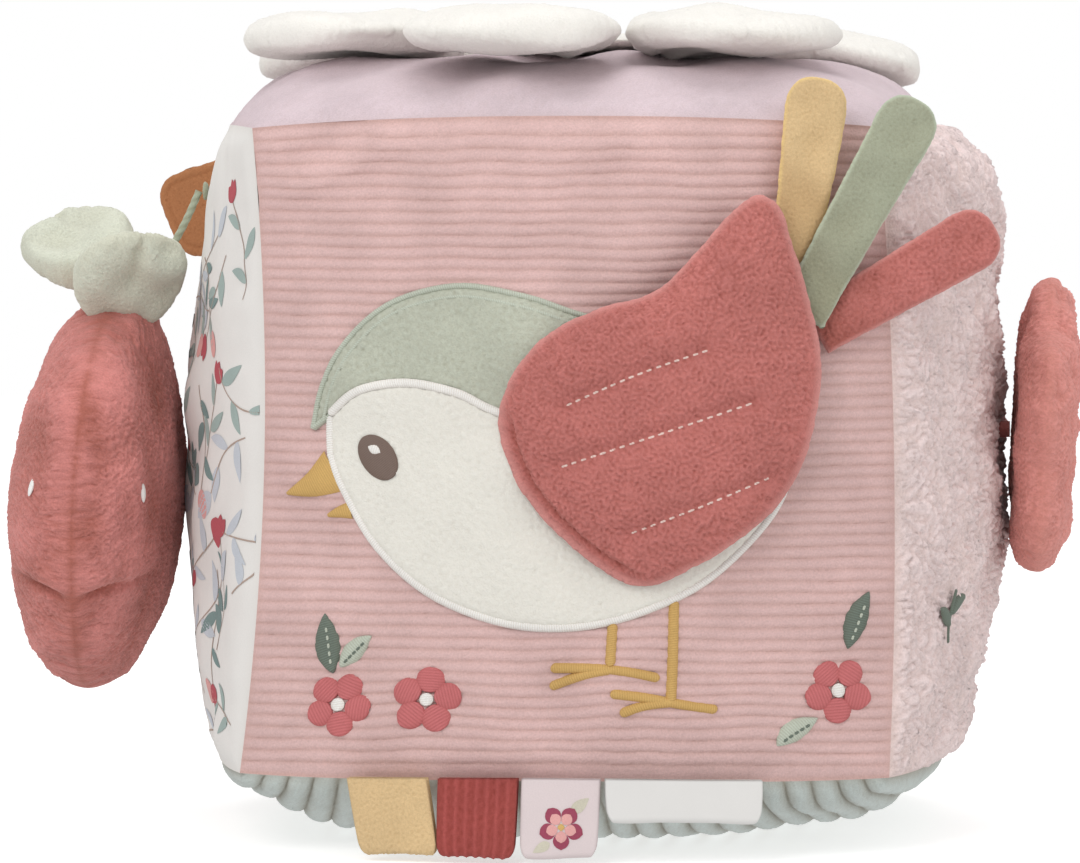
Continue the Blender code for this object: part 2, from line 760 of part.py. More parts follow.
def wing_surface(x, z, height):
    start, _, away, reach = wing_hem()
    off = max(0, (Vector((x, z)) - start).dot(away))
    seat = 3 * CLEARANCE + APPLIQUE_THICKNESS
    return front_place(x, z, seat + WING_RISE * (off / reach) ** WING_RISE_SHARE + height)


def build_wing():
    start, end, away, _ = wing_hem()
    near = wing_surface(start.x, start.y, 0)
    far = wing_surface(end.x, end.y, 0)
    middle = wing_surface(*(start + end) / 2, 0)
    hinge = pivot("wing_hinge", middle, near - far, Vector((0, -1, 0)))
    shares = smooth_loop(WING_OUTLINE_SHARES, 2)
    outline = [tuple(wing_place(*pair)) for pair in shares]
    heart = tuple(wing_place(*WING_MIDDLE_SHARES))
    covered_pad(("wing_front_cover", "wing_back_cover", "wing_wadding"), outline, heart,
                wing_surface, (WING_FRONT_PUFF, WING_BACK_PUFF), "rose", hinge)


# Tail

def tail_frame(seat=0.0):
    """Frame of the feathers: X across, Y up and Z out from the panel."""
    turn = Matrix.Rotation(math.radians(TAIL_TURN), 4, "Z")
    lean = Matrix.Rotation(math.radians(90 - TAIL_LEAN), 4, "X")
    spot = front_facet(*TAIL_PLACE)
    frame = Matrix.Translation(spot) @ turn @ lean
    return frame @ Matrix.Translation((0, 0, seat))


def feather_frame(angle, place, seat):
    """Frame at a feather's hinge: X across it, Y along it and Z out."""
    turn = Matrix.Rotation(-math.radians(angle), 4, "Z")
    return tail_frame(seat) @ Matrix.Translation((*place, 0)) @ turn


def strip_outline(width, length, count=8):
    """A ribbon with a round end, from its root along +Y."""
    radius = width / 2
    arc = [(radius * math.cos(math.pi * k / count), length - radius
            + radius * math.sin(math.pi * k / count)) for k in range(count + 1)]
    return [(radius, 0)] + arc + [(-radius, 0)]


def slab(name, outline, frame, low, high, look, parent=None):
    """A flat piece of even thickness in a frame."""
    bm = bmesh.new()
    under = [bm.verts.new(frame @ Vector((x, y, low))) for x, y in outline]
    over = [bm.verts.new(frame @ Vector((x, y, high))) for x, y in outline]
    bm.faces.new(over)
    bm.faces.new(under[::-1])
    count = len(outline)
    for k in range(count):
        after = (k + 1) % count
        bm.faces.new((under[k], under[after], over[after], over[k]))
    return finish(name, bm, look, parent)


def tail_root_outline():
    """A fan from under the wing to the hinge lines of the two lower feathers."""
    points = []
    for _, _, angle, place, _, width, layer in FEATHERS:
        if layer == 0:
            turn = Matrix.Rotation(-math.radians(angle), 2)
            for side in (-1, 1):
                corner = turn @ Vector((side * width / 2, -CLEARANCE))
                points.append(tuple(Vector(place) + corner))
    first_half = FEATHERS[0][5] / 2
    return points + [(0, -TAIL_ROOT_REACH), (-first_half, 0)]


def tail_seat():
    """How far out the tail lies, so that it clears the bird under it."""
    frame = tail_frame()
    outward = frame.to_3x3() @ Vector((0, 0, 1))
    over_bird = 3 * CLEARANCE + APPLIQUE_THICKNESS
    needed = 0
    for x, y in tail_root_outline() + [(0, 0)]:
        spot = frame @ Vector((x, y, 0))
        pattern = (min(spot.x, HALF_WIDTH), min(spot.z - CENTRE_HEIGHT, HALF_HEIGHT))
        panel = front_place(*pattern, over_bird)
        needed = max(needed, (spot.y - panel.y) / -outward.y)
    return needed


def build_tail():
    """Two ribbon feathers beside a sewn root, and a third that lies over them."""
    seat = tail_seat()
    slab("tail_root", tail_root_outline(), tail_frame(seat), 0, FEATHER_THICKNESS, "sage")
    for name, look, angle, place, length, width, layer in FEATHERS:
        frame = feather_frame(angle, place, seat + layer * (FEATHER_THICKNESS + CLEARANCE))
        axes = frame.to_3x3()
        crease = frame @ Vector((0, 0, FEATHER_THICKNESS))
        hinge = pivot(f"{name}_hinge", crease, axes @ Vector((1, 0, 0)),
                      axes @ Vector((0, 0, 1)))
        slab(name, strip_outline(width, length), frame, 0, FEATHER_THICKNESS, look, hinge)


# Top flower

def dome_height(x, y):
    """Height of the top panel over a place, near enough for its facets."""
    point = block_point(x / (HALF_WIDTH + SEAM_BOW), y / (HALF_DEPTH + SEAM_BOW), 1)
    return point.z


def petal_outline():
    outline = []
    count = 20
    for k in range(count):
        angle = 2 * math.pi * k / count
        along = PETAL_LENGTH / 2 * (1 + math.cos(angle))
        wide = PETAL_WIDTH / 2 * math.sin(angle) * (1 + PETAL_TAPER_SHARE * math.cos(angle))
        outline.append((along, wide))
    return outline


def petal_frame(angle, droop):
    """Frame at a petal's root: X outward, Y across and Z up."""
    root_height = dome_height(PETAL_ROOT_RADIUS, 0) + PETAL_STAND
    turn = Matrix.Rotation(math.radians(angle - 90), 4, "Z")
    spot = Matrix.Translation((0, 0, root_height))
    out = Matrix.Translation((PETAL_ROOT_RADIUS, 0, 0))
    return spot @ turn @ out @ Matrix.Rotation(math.radians(droop), 4, "Y")


def resting_droop(angle):
    """The droop at which a petal lies on the top panel."""
    for droop in range(30, -10, -1):
        frame = petal_frame(angle, droop)
        clear = True
        for reach, puff in ring_levels(4, PETAL_FULLNESS):
            for x, y in petal_outline():
                along = PETAL_LENGTH / 2 + (x - PETAL_LENGTH / 2) * reach
                spot = frame @ Vector((along, y * reach, -PETAL_THICKNESS / 2 * puff))
                clear = clear and spot.z > dome_height(spot.x, spot.y) + 2 * CLEARANCE
        if clear:
            return droop
    return 0


def build_top_flower():
    for k in range(PETAL_COUNT):
        angle = PETAL_FIRST_ANGLE + 360 / PETAL_COUNT * k
        droop = resting_droop(angle) - PETAL_LIFTS[k % len(PETAL_LIFTS)]
        frame = petal_frame(angle, droop)
        axes = frame.to_3x3()
        hinge = pivot(f"petal_{k + 1}_hinge", frame.translation,
                      axes @ Vector((0, -1, 0)), axes @ Vector((0, 0, 1)))

        def place(x, y, height, frame=frame):
            return frame @ Vector((x, y, height))

        solid_pad(f"petal_{k + 1}", petal_outline(), (PETAL_LENGTH / 2, 0), place,
                  PETAL_THICKNESS / 2, PETAL_THICKNESS / 2, "cream", hinge,
                  fullness=PETAL_FULLNESS)
    radius = PETAL_ROOT_RADIUS - CLEARANCE
    rim = dome_height(PETAL_ROOT_RADIUS, 0) + PETAL_STAND
    floor = dome_height(0, 0) + CLEARANCE

    def disc(x, y, height):
        return Vector((x, y, rim + height))

    solid_pad("flower_centre", oval((0, 0), 2 * radius, 2 * radius, 28), (0, 0), disc,
              FLOWER_CENTRE_PUFF, max(rim - floor, CLEARANCE), "cream", None)


# Strawberry

def left_reach():
    """The furthest point of the left face."""
    return block_point(-1, 0, 0).x


def strawberry_frame():
    """Frame in the seam's plane: X to the front, Y up and Z to the left."""
    x = left_reach() - CLEARANCE - STRAWBERRY_INNER_PUFF
    spot = Vector((x, -STRAWBERRY_FORWARD, CENTRE_HEIGHT - STRAWBERRY_DROP))
    turn = Matrix(((0, 0, -1), (-1, 0, 0), (0, 1, 0))).to_4x4()
    return Matrix.Translation(spot) @ turn


def strawberry_outline():
    outline = []
    count = 28
    for k in range(count):
        angle = 2 * math.pi * k / count
        rise = math.cos(angle)
        wide = math.sin(angle) * (1 + STRAWBERRY_TAPER_SHARE * rise)
        outline.append((STRAWBERRY_WIDTH / 2 * wide, STRAWBERRY_HEIGHT / 2 * rise))
    return outline


def cord_route():
    """Route of the cord, from the left face down to the strawberry's top."""
    top = block_point(-1, -STRAWBERRY_FORWARD / HALF_DEPTH, CORD_TOP_HEIGHT / HALF_HEIGHT)
    start = top + Vector((-3 * CLEARANCE - TACK_THICKNESS - CORD_RADIUS, 0, 0))
    end = strawberry_frame() @ Vector((0, STRAWBERRY_HEIGHT / 2 + CLEARANCE, 0))
    span = end - start
    route = [start + Vector((span.x * sx, span.y * sx, span.z * sz)) for sx, sz in CORD_SHARES]
    return top, route


def build_strawberry():
    top, route = cord_route()
    turn = pivot("strawberry_turn", route[0], Vector((1, 0, 0)), Vector((0, 0, 1)))
    swing = pivot("strawberry_swing", route[0], Vector((0, 1, 0)), Vector((0, 0, 1)))
    tack = Matrix.Translation(top + Vector((-2 * CLEARANCE, 0, 0)))
    tack = tack @ Matrix.Rotation(-math.pi / 2, 4, "Y")
    half_width, half_height = TACK_WIDTH / 2, TACK_HEIGHT / 2
    corners = [(-half_height, -half_width), (half_height, -half_width),
               (half_height, half_width), (-half_height, half_width)]
    slab("cord_end", corners, tack, 0, TACK_THICKNESS, "light_sage", turn)
    build_cord(route, swing)
    frame = strawberry_frame()

    def place(x, y, height):
        return frame @ Vector((x, y, height))

    covered_pad(("strawberry_outer_cover", "strawberry_inner_cover", "strawberry_wadding"),
                strawberry_outline(), (0, 0), place,
                (STRAWBERRY_OUTER_PUFF, STRAWBERRY_INNER_PUFF), "rose", swing, rings=5)
    for name, heading, rise in CROWN_LEAVES:
        build_crown_leaf(name, heading, rise, swing)


def build_cord(route, parent):
    curve = bpy.data.curves.new("strawberry_cord", "CURVE")
    curve.dimensions = "3D"
    curve.bevel_depth = CORD_RADIUS
    curve.bevel_resolution = 2
    curve.use_fill_caps = True
    points = smooth_run([tuple(point) for point in route], 3)
    spline = curve.splines.new("POLY")
    spline.points.add(len(points) - 1)
    back = parent.matrix_world.inverted()
    for spot, point in zip(spline.points, points):
        spot.co = (*(back @ Vector(point)), 1)
    curve.materials.append(material("light_sage"))
    cord = bpy.data.objects.new("strawberry_cord", curve)
    cord.parent = parent
    bpy.context.scene.collection.objects.link(cord)


def leaf_sag(rise):
    """How far a risen leaf's underside comes down below its root."""
    sags = [CROWN_LEAF_THICKNESS / 2 * puff * math.cos(rise)
            - CROWN_LEAF_LENGTH / 2 * (1 - reach) * math.sin(rise)
            for reach, puff in ring_levels(CROWN_LEAF_RINGS)]
    return max(sags)


def build_crown_leaf(name, heading, rise, parent):
    """A padded leaf that stands up from the strawberry's top."""
    top = strawberry_frame() @ Vector((0, STRAWBERRY_HEIGHT / 2, 0))
    turn = Matrix.Rotation(math.radians(heading), 4, "Z")
    seat = CLEARANCE + leaf_sag(math.radians(rise)) - CROWN_LEAF_SINK
    root = turn @ Vector((CROWN_LEAF_OFFSET, 0, seat))
    frame = Matrix.Translation(top + root) @ turn
    frame = frame @ Matrix.Rotation(-math.radians(rise), 4, "Y")
    outline = []
    count = 14
    for k in range(count):
        angle = 2 * math.pi * k / count
        far, wide = (math.copysign(abs(turn) ** CROWN_LEAF_CORNER_SHARE, turn)
                     for turn in (math.cos(angle), math.sin(angle)))
        wide *= 1 + CROWN_LEAF_TAPER_SHARE * far
        outline.append((CROWN_LEAF_LENGTH / 2 * (1 + far), CROWN_LEAF_WIDTH / 2 * wide))

    def place(x, y, height):
        return frame @ Vector((x, y, height))

    half = CROWN_LEAF_THICKNESS / 2
    solid_pad(f"crown_leaf_{name}", outline, (CROWN_LEAF_LENGTH / 2, 0), place, half, half,
              "light_sage", parent, rings=CROWN_LEAF_RINGS)


# Plush flower

def build_plush_flower():
    face = block_point(1, -PLUSH_FORWARD / HALF_DEPTH, PLUSH_RAISE / HALF_HEIGHT)
    base = Vector((block_point(1, 0, 0).x + CLEARANCE, face.y, face.z))
    shank = bmesh.new()
    spin = Matrix.Translation(base) @ Matrix.Rotation(-math.pi / 2, 4, "Z")
    turned(shank, ((0, 0), (SHANK_RADIUS, 0), (SHANK_RADIUS, SHANK_LENGTH), (0, SHANK_LENGTH)),
           Vector(), 16)
    shank.transform(spin)
    twist = pivot("plush_flower_twist", base, Vector((1, 0, 0)), Vector((0, 0, 1)))
    finish("flower_shank", shank, "light_sage", twist)
    seat = base + Vector((SHANK_LENGTH + SHANK_GAP, 0, 0))
    nod = pivot("plush_flower_nod", seat, Vector((0, 1, 0)), Vector((0, 0, 1)))
    frame = Matrix.Translation(seat) @ Matrix.Rotation(math.radians(PLUSH_TILT), 4, "Y")
    frame = frame @ Matrix(((0, 0, 1), (1, 0, 0), (0, 1, 0))).to_4x4()
    outline = []
    count = 8 * PLUSH_LOBE_COUNT
    for k in range(count):
        angle = 2 * math.pi * k / count
        radius = PLUSH_RADIUS - PLUSH_LOBE * abs(math.sin(PLUSH_LOBE_COUNT * angle / 2)) ** 3
        outline.append((radius * math.sin(angle), radius * math.cos(angle)))

    def place(x, y, height):
        return frame @ Vector((x, y, height + PLUSH_PUFF))

    covered_pad(("flower_outer_cover", "flower_inner_cover", "flower_wadding"), outline, (0, 0),
                place, (PLUSH_PUFF, PLUSH_PUFF), "rose", nod, fullness=PLUSH_FULLNESS)


# Tabs

def loop_profile(length):
    """Side view of a ribbon folded in a loop, open at its root."""
    half = TAB_THICKNESS / 2
    count = 6
    centre = length - half
    outer = [(half, 0)]
    inner = []
    for k in range(count + 1):
        angle = math.pi * k / count
        outer.append((half * math.cos(angle), centre + half * math.sin(angle)))
        inside = half - TAB_WALL
        inner.append((inside * math.cos(angle), centre + inside * math.sin(angle)))
    outer.append((-half, 0))
    inner = [(half - TAB_WALL, 0)] + inner + [(TAB_WALL - half, 0)]
    return outer + inner[::-1]


def seam_spot(x):
    """Point of the seam under the front panel, and the way that it runs."""
    step = 0.01
    share = x / HALF_WIDTH
    spot = block_point(share, -1, -1)
    along = block_point(share + step, -1, -1) - block_point(share - step, -1, -1)
    return spot, along.normalized()


def build_front_tabs():
    for name, look, x, width, length in FRONT_TABS:
        spot, along = seam_spot(x)
        out = along.cross(Vector((0, 0, 1))).normalized()
        reach = TAB_THICKNESS / 2 + CLEARANCE + TAB_STAND
        root = spot + out * reach - Vector((0, 0, CLEARANCE))
        hinge = pivot(f"{name}_hinge", root, along, out)
        down = Vector((0, 0, -1)) + out * math.tan(math.radians(TAB_SLANT))
        axes = Matrix((out, down.normalized(), along)).transposed().to_4x4()
        frame = Matrix.Translation(root) @ axes
        slab(name, loop_profile(length), frame, -width / 2, width / 2, look, hinge)


def build_side_tab():
    """A velour tab in the seam between the left and back panels, pinched at its root."""
    half_share = SIDE_TAB_WIDTH / 2 / HALF_HEIGHT
    low, middle, high = (
        block_point(-1, 1, SIDE_TAB_HEIGHT_SHARE + side * half_share) for side in (-1, 0, 1))
    across = (high - low).normalized()
    out = Vector((-1, math.tan(math.radians(SIDE_TAB_TURN)), 0))
    out = (out - across * out.dot(across)).normalized()
    bow = max(0, (low - middle).dot(out))
    root = middle + out * (bow + CLEARANCE + SIDE_TAB_ROOT_THICKNESS / 2)
    hinge = pivot("side_tab_hinge", root, across, out)
    frame = Matrix.Translation(root) @ Matrix((across, out, across.cross(out))).transposed().to_4x4()
    outline = strip_outline(SIDE_TAB_WIDTH, SIDE_TAB_LENGTH)
    necks = [(corner[0], SIDE_TAB_PINCH) for corner in (outline[0], outline[-1])]
    outline = [outline[0], necks[0]] + outline[1:-1] + [necks[1], outline[-1]]
    bm = bmesh.new()
    rings = []
    for side in (-1, 1):
        ring = []
        for x, y in outline:
            thickness = SIDE_TAB_THICKNESS if y else SIDE_TAB_ROOT_THICKNESS
            ring.append(bm.verts.new(frame @ Vector((x, y, side * thickness / 2))))
        bm.faces.new((ring[0], ring[1], ring[-2], ring[-1]))
        bm.faces.new(ring[1:-1])
        rings.append(ring)
    join_rings(bm, *rings)
    finish("side_tab", bm, "caramel", hinge)


def main():
    clear_scene()
    build_panel("front_panel", "front", "pink_rib")
    build_panel("back_panel", "back", "white_cotton")
    build_panel("left_panel", "left", "white_cotton")
    build_panel("right_panel", "right", "sherpa")
    build_panel("top_panel", "top", "lilac")
    build_panel("base_panel", "base", "grey_green")
    build_core()
    build_rattle()
    build_bird()
    build_embroidery()
    build_wing()
    build_tail()
    build_top_flower()
    build_strawberry()
    build_plush_flower()
    build_front_tabs()
    build_side_tab()


main()
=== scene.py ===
"""Looks of the soft fabric activity block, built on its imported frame.

Lengths are metres in the part's own frame: +Z up, the bird's panel towards -Y.
"""
import json
import math

import bpy
import numpy as np
from mathutils import Matrix, Vector
from mathutils.bvhtree import BVHTree
from mathutils.geometry import delaunay_2d_cdt

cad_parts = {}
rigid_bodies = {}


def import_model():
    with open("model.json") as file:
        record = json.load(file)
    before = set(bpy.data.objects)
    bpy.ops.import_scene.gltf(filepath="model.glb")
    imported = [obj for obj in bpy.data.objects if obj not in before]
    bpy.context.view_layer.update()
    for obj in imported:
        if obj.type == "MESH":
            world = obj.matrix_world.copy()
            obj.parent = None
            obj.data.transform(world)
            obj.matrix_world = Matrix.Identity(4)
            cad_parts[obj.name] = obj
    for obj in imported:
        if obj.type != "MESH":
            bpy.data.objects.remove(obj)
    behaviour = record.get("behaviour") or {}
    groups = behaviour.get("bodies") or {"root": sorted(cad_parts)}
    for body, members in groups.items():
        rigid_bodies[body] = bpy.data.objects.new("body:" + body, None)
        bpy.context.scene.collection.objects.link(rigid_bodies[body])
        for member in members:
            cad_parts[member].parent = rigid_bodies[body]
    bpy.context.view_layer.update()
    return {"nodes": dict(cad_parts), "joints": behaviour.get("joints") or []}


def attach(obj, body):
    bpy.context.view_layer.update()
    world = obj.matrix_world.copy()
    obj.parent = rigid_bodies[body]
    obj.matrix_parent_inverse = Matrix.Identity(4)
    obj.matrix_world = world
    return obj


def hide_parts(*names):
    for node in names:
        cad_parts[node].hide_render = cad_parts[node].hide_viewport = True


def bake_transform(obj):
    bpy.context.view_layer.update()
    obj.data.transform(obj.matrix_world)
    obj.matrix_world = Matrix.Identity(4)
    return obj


MM = 0.001
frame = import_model()

# Sizes of the stuffed block, as in the part
HALF_WIDTH, HALF_DEPTH, HALF_HEIGHT = 75 * MM, 75 * MM, 76.5 * MM
BULGES = {"left": 26 * MM, "right": 22.5 * MM, "front": 20 * MM, "back": 21 * MM,
          "top": 17 * MM, "base": 15.6 * MM}
SEAM_BOW, SEAM_DRAW, SEAM_SAG, LEAN = 14 * MM, 1.5 * MM, 1.5 * MM, 3.5 * MM
TOP_BOW = 3.2 * MM
BASE_SPREAD = 0.02
RIB_COUNT, RIB_HEIGHT, FLAT_CUT = 25, 1.6 * MM, 0.5 * MM
CENTRE = HALF_HEIGHT + BULGES["base"] + RIB_HEIGHT - FLAT_CUT
FACES = {"front": (1, -1), "back": (1, 1), "left": (0, -1), "right": (0, 1),
         "top": (2, 1), "base": (2, -1)}
ROLL, ROLL_WIDTH = 1.7 * MM, 2.6 * MM
CLEARANCE = 0.35 * MM
# Share of a panel's pattern that lies inside its rolled seams
EDGE = 1 - ROLL / HALF_WIDTH
# How far from a seam its stitches still draw the nap in; shade is painted along the seams over
# the same width
GRIP = 1 * MM
JOINTS = {j["name"]: (np.array(j["pos_m"]), np.array(j["axis"])) for j in frame["joints"]}


# Noise from seeded waves

class Weave:
    """A seamless square of waves of one length, sampled at any place."""

    def __init__(self, wave, spread, seed, cell=0.25 * MM, size=512):
        rng = np.random.default_rng(seed)
        noise = np.fft.fft2(rng.standard_normal((size, size)))
        steps = np.fft.fftfreq(size) * size
        rate = np.hypot(*np.meshgrid(steps, steps, indexing="ij"))
        wanted = size * cell / wave
        noise *= np.exp(-((rate - wanted) / (spread * wanted)) ** 2)
        square = np.real(np.fft.ifft2(noise))
        self.square = square / square.std()
        self.cell, self.size = cell, size

    def at(self, x, y):
        x, y = np.asarray(x) / self.cell, np.asarray(y) / self.cell
        i, j = np.floor(x).astype(int), np.floor(y).astype(int)
        s, t = x - i, y - j
        square, n = self.square, self.size
        low = square[i % n, j % n] * (1 - s) + square[(i + 1) % n, j % n] * s
        high = square[i % n, (j + 1) % n] * (1 - s) + square[(i + 1) % n, (j + 1) % n] * s
        return low * (1 - t) + high * t


RUMPLE = Weave(34 * MM, 0.5, 1, cell=1 * MM, size=256)
CREASE = Weave(11 * MM, 0.45, 2, cell=0.5 * MM)
WORM = Weave(1.9 * MM, 0.3, 3)
CURL = Weave(4.4 * MM, 0.4, 4)
CRUMB = Weave(1.1 * MM, 0.5, 5)
FINE = Weave(1.35 * MM, 0.4, 6)


# Colours and materials

def linear(r, g, b):
    """A screen colour from 0 to 255, as light."""
    return tuple(((v / 255 + 0.055) / 1.055) ** 2.4 if v > 10 else v / 3294 for v in (r, g, b))


def add(tree, kind, **values):
    """A shader node; each value is one of its inputs or settings."""
    node = tree.nodes.new("ShaderNode" + kind)
    for key, value in values.items():
        if key in node.inputs:
            node.inputs[key].default_value = value
        else:
            setattr(node, key, value)
    return node


def blend_colours(tree, factor, dark, light, mode="MIX"):
    """A colour mix; each input is a socket or a value."""
    mix = add(tree, "Mix", data_type="RGBA", blend_type=mode)
    for index, value in ((0, factor), (6, dark), (7, light)):
        if isinstance(value, bpy.types.NodeSocket):
            tree.links.new(value, mix.inputs[index])
        else:
            mix.inputs[index].default_value = value
    return mix.outputs[2]


LOOKS, SLOTS = {}, {}
PATCH = 14 * MM


def cloth(key, slot, name, colour, shade, grain, bump, sheen=0.35, rough=0.92, mottle=0.1,
          rim=None):
    """Adds a fabric look, mottled and fuzzy, with shade painted into its grooves by a point
    attribute.

    slot is the record's material slot, if it has one. shade is how much light a groove
    keeps; grain and bump are the width and height of its finest relief in millimetres."""
    material = bpy.data.materials.new(name)
    material.use_nodes = True
    tree = material.node_tree
    base = linear(*colour)
    place = add(tree, "TexCoord").outputs["Object"]
    fine = add(tree, "TexNoise", Scale=1 / (grain * MM), Detail=3.0, Roughness=0.6)
    wide = add(tree, "TexNoise", Scale=1 / PATCH, Detail=4.0, Roughness=0.55)
    for node in (fine, wide):
        tree.links.new(place, node.inputs["Vector"])
    # Painted shade: a point attribute, low in grooves, creases, seams and the dips of the
    # relief, darkens the colour; it also carries some random tone
    shade_and_tone = add(tree, "Attribute", attribute_name="shade_and_tone")
    # The painted groove shade: a darker, slightly more saturated copy of the colour
    dark = (*(c * shade ** (0.85 + 0.3 * k) for k, c in enumerate(base)), 1)
    tint = blend_colours(tree, shade_and_tone.outputs["Fac"], dark, (*base, 1))
    if rim:
        edge = add(tree, "Attribute", attribute_name="rim")
        tint = blend_colours(tree, edge.outputs["Fac"], tint, (*linear(*rim), 1))
    for noise, strength in ((fine, mottle), (wide, mottle * 0.9)):
        spread = add(tree, "MapRange", **{
            "From Min": 0.3, "From Max": 0.7,
            "To Min": 1 - strength, "To Max": 1 + strength * 0.6})
        tree.links.new(noise.outputs["Fac"], spread.inputs["Value"])
        tint = blend_colours(tree, 1.0, tint, spread.outputs["Result"], "MULTIPLY")
    relief = add(tree, "Bump", Strength=1.0, Distance=bump * MM)
    tree.links.new(fine.outputs["Fac"], relief.inputs["Height"])
    inputs = tree.nodes["Principled BSDF"].inputs
    tree.links.new(tint, inputs["Base Color"])
    tree.links.new(relief.outputs["Normal"], inputs["Normal"])
    for label, value in (("Roughness", rough), ("Specular IOR Level", 0.2),
                         ("Sheen Weight", sheen), ("Sheen Roughness", 0.45),
                         ("Sheen Tint", (*(c ** 0.5 for c in base), 1))):
        inputs[label].default_value = value
    LOOKS[key] = material
    if slot:
        SLOTS[name] = slot


for *values, more in (
        ("rib", "pink_rib", "pink rib knit", (221, 187, 184), 0.76, 0.45, 0.16, {"sheen": 0.2}),
        ("lilac", "lilac_velour", "lilac velour", (215, 197, 203), 0.84, 0.4, 0.2, {}),
        ("cream", "cream_plush", "cream velour", (244, 241, 235), 0.95, 0.45, 0.22,
         {"mottle": 0.04}),
        ("belly", "cream_plush", "white plush", (234, 231, 222), 0.9, 0.5, 0.25,
         {"mottle": 0.04}),
        ("sage", "sage_plush", "sage plush", (194, 198, 182), 0.78, 0.5, 0.3, {}),
        ("sage_ribbon", "sage_plush", "sage velour", (168, 172, 150), 0.74, 0.4, 0.12,
         {"rim": (190, 200, 178)}),
        ("leaf_plush", "light_sage_plush", "light sage plush", (222, 225, 208), 0.78, 0.5,
         0.3, {}),
        ("mustard", "mustard_velour", "mustard velour", (222, 192, 146), 0.72, 0.4, 0.14,
         {"rim": (236, 204, 140)}),
        ("rose", "rose_plush", "rose plush", (204, 126, 120), 0.62, 0.5, 0.35,
         {"rim": (214, 146, 140)}),
        ("rose_pale", "rose_plush", "pale rose plush", (236, 160, 152), 0.6, 0.5, 0.35, {}),
        ("minky", "rose_plush", "rose minky", (216, 140, 134), 0.55, 0.5, 0.3,
         {"mottle": 0.14, "sheen": 0.5}),
        ("cherry", "red_corduroy", "red corduroy", (178, 88, 84), 0.55, 0.4, 0.2,
         {"sheen": 0.3}),
        ("caramel", "caramel_velour", "caramel velour", (182, 124, 84), 0.7, 0.4, 0.15,
         {"sheen": 0.3}),
        ("sherpa", "sherpa", "curly pile", (246, 226, 224), 0.7, 0.6, 0.4, {"sheen": 0.3}),
        ("cotton", "white_cotton", "white cotton", (230, 227, 223), 0.9, 0.3, 0.05,
         {"sheen": 0.1, "mottle": 0.03}),
        ("blush", "white_cotton", "blush cotton", (220, 206, 206), 0.9, 0.3, 0.05,
         {"sheen": 0.1, "mottle": 0.03}),
        ("satin", "white_satin", "white satin", (224, 222, 219), 0.92, 0.2, 0.02,
         {"sheen": 0.1, "rough": 0.45, "mottle": 0.02}),
        ("jumbo", "grey_green_cord", "grey green corduroy", (200, 208, 204), 0.55, 0.45,
         0.25, {}),
        ("cord", "light_sage_plush", "sage cord", (182, 190, 168), 0.55, 0.2, 0.1,
         {"rough": 0.8}),
        ("foam", "foam", "soft foam", (226, 222, 206), 1, 0.8, 0.3, {"sheen": 0}),
        ("plastic", "clear_plastic", "matt plastic", (206, 214, 218), 1, 2, 0.01,
         {"sheen": 0, "rough": 0.4, "mottle": 0.02})):
    cloth(*values, **more)
for key, slot, name, colour, shade, rough in (
        ("mustard", "mustard_velour", "mustard", (212, 174, 108), 0.72, 0.6),
        ("rose", "rose_plush", "rose", (204, 116, 118), 0.7, 0.6),
        ("pink", None, "pale pink", (238, 214, 206), 0.8, 0.5),
        ("white", None, "white", (242, 240, 236), 0.78, 0.5),
        ("sage", "leaf_green_thread", "pale sage", (196, 204, 190), 0.7, 0.55),
        ("leaf", "leaf_green_thread", "grey green", (116, 128, 118), 0.6, 0.6),
        ("brown", "brown_thread", "brown", (126, 109, 101), 0.62, 0.5)):
    cloth(key + "_thread", slot, name + " thread", colour, shade, 0.25, 0.08, sheen=0.1,
          rough=rough)
for key, name, colour, mottle in (
        ("leaf", "grey green", (164, 180, 175), 0.08),
        ("pale_leaf", "pale blue grey", (200, 205, 212), 0.08),
        ("deep_leaf", "deep grey green", (128, 148, 146), 0.08),
        ("stem", "brown", (178, 158, 146), 0.05), ("bud", "rose", (186, 92, 100), 0.1),
        ("plum", "plum", (158, 76, 96), 0.1), ("olive", "olive", (206, 200, 182), 0.1),
        ("pale", "pale rose", (226, 168, 164), 0.1)):
    cloth("print_" + key, None, "printed " + name, colour, 1, 0.3, 0.03, sheen=0,
          mottle=mottle)


# Small helpers

def unit(ways):
    """The ways at length one."""
    return ways / np.linalg.norm(ways, axis=-1, keepdims=True)


def direction(angle):
    """Unit way at an angle in degrees."""
    return np.array((math.cos(math.radians(angle)), math.sin(math.radians(angle))))


def circle(count):
    """Even angles, once round."""
    return np.linspace(0, 2 * math.pi, count, endpoint=False)


def rounded(share, low=0.0):
    """Height of a rounded edge: it rises from low to 1 as share goes from 0 to 1."""
    return np.sqrt(np.clip(1 - (1 - np.clip(share, 0, 1)) ** 2, low, 1))


def boxed(box, shares):
    """Spots given as shares of a box: its left, its bottom, its width and its height."""
    return (np.array(box[:2]) + np.array(box[2:]) * np.asarray(shares, float)) * MM


def round_end(half, start, rise, across, along, count):
    """Spots round the end of a strip; powers under 1 make it squarer."""
    return [(half * math.copysign(abs(math.cos(t)) ** across, math.cos(t)),
             start + rise * math.sin(t) ** along)
            for t in np.radians(np.linspace(0, 180, count))]


# Meshes

def store(mesh, label, values):
    """Keeps one number per point with the mesh."""
    layer = mesh.attributes.new(label, "FLOAT", "POINT")
    layer.data.foreach_set("value", np.ascontiguousarray(values, dtype=np.float32).ravel())


def make(name, points, faces, look, body, shade_and_tone=1.0, node=None):
    """A smooth mesh object that rides on a body and may replace a CAD node."""
    mesh = bpy.data.meshes.new(name)
    mesh.from_pydata(np.asarray(points).tolist(), [], np.asarray(faces).tolist())
    mesh.shade_smooth()
    store(mesh, "shade_and_tone", np.broadcast_to(shade_and_tone, len(points)))
    store(mesh, "rim", np.zeros(len(points)))
    mesh.materials.append(LOOKS[look])
    thing = bpy.data.objects.new(name, mesh)
    bpy.context.scene.collection.objects.link(thing)
    carry(thing, body)
    if node:
        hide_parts(node)
    return thing


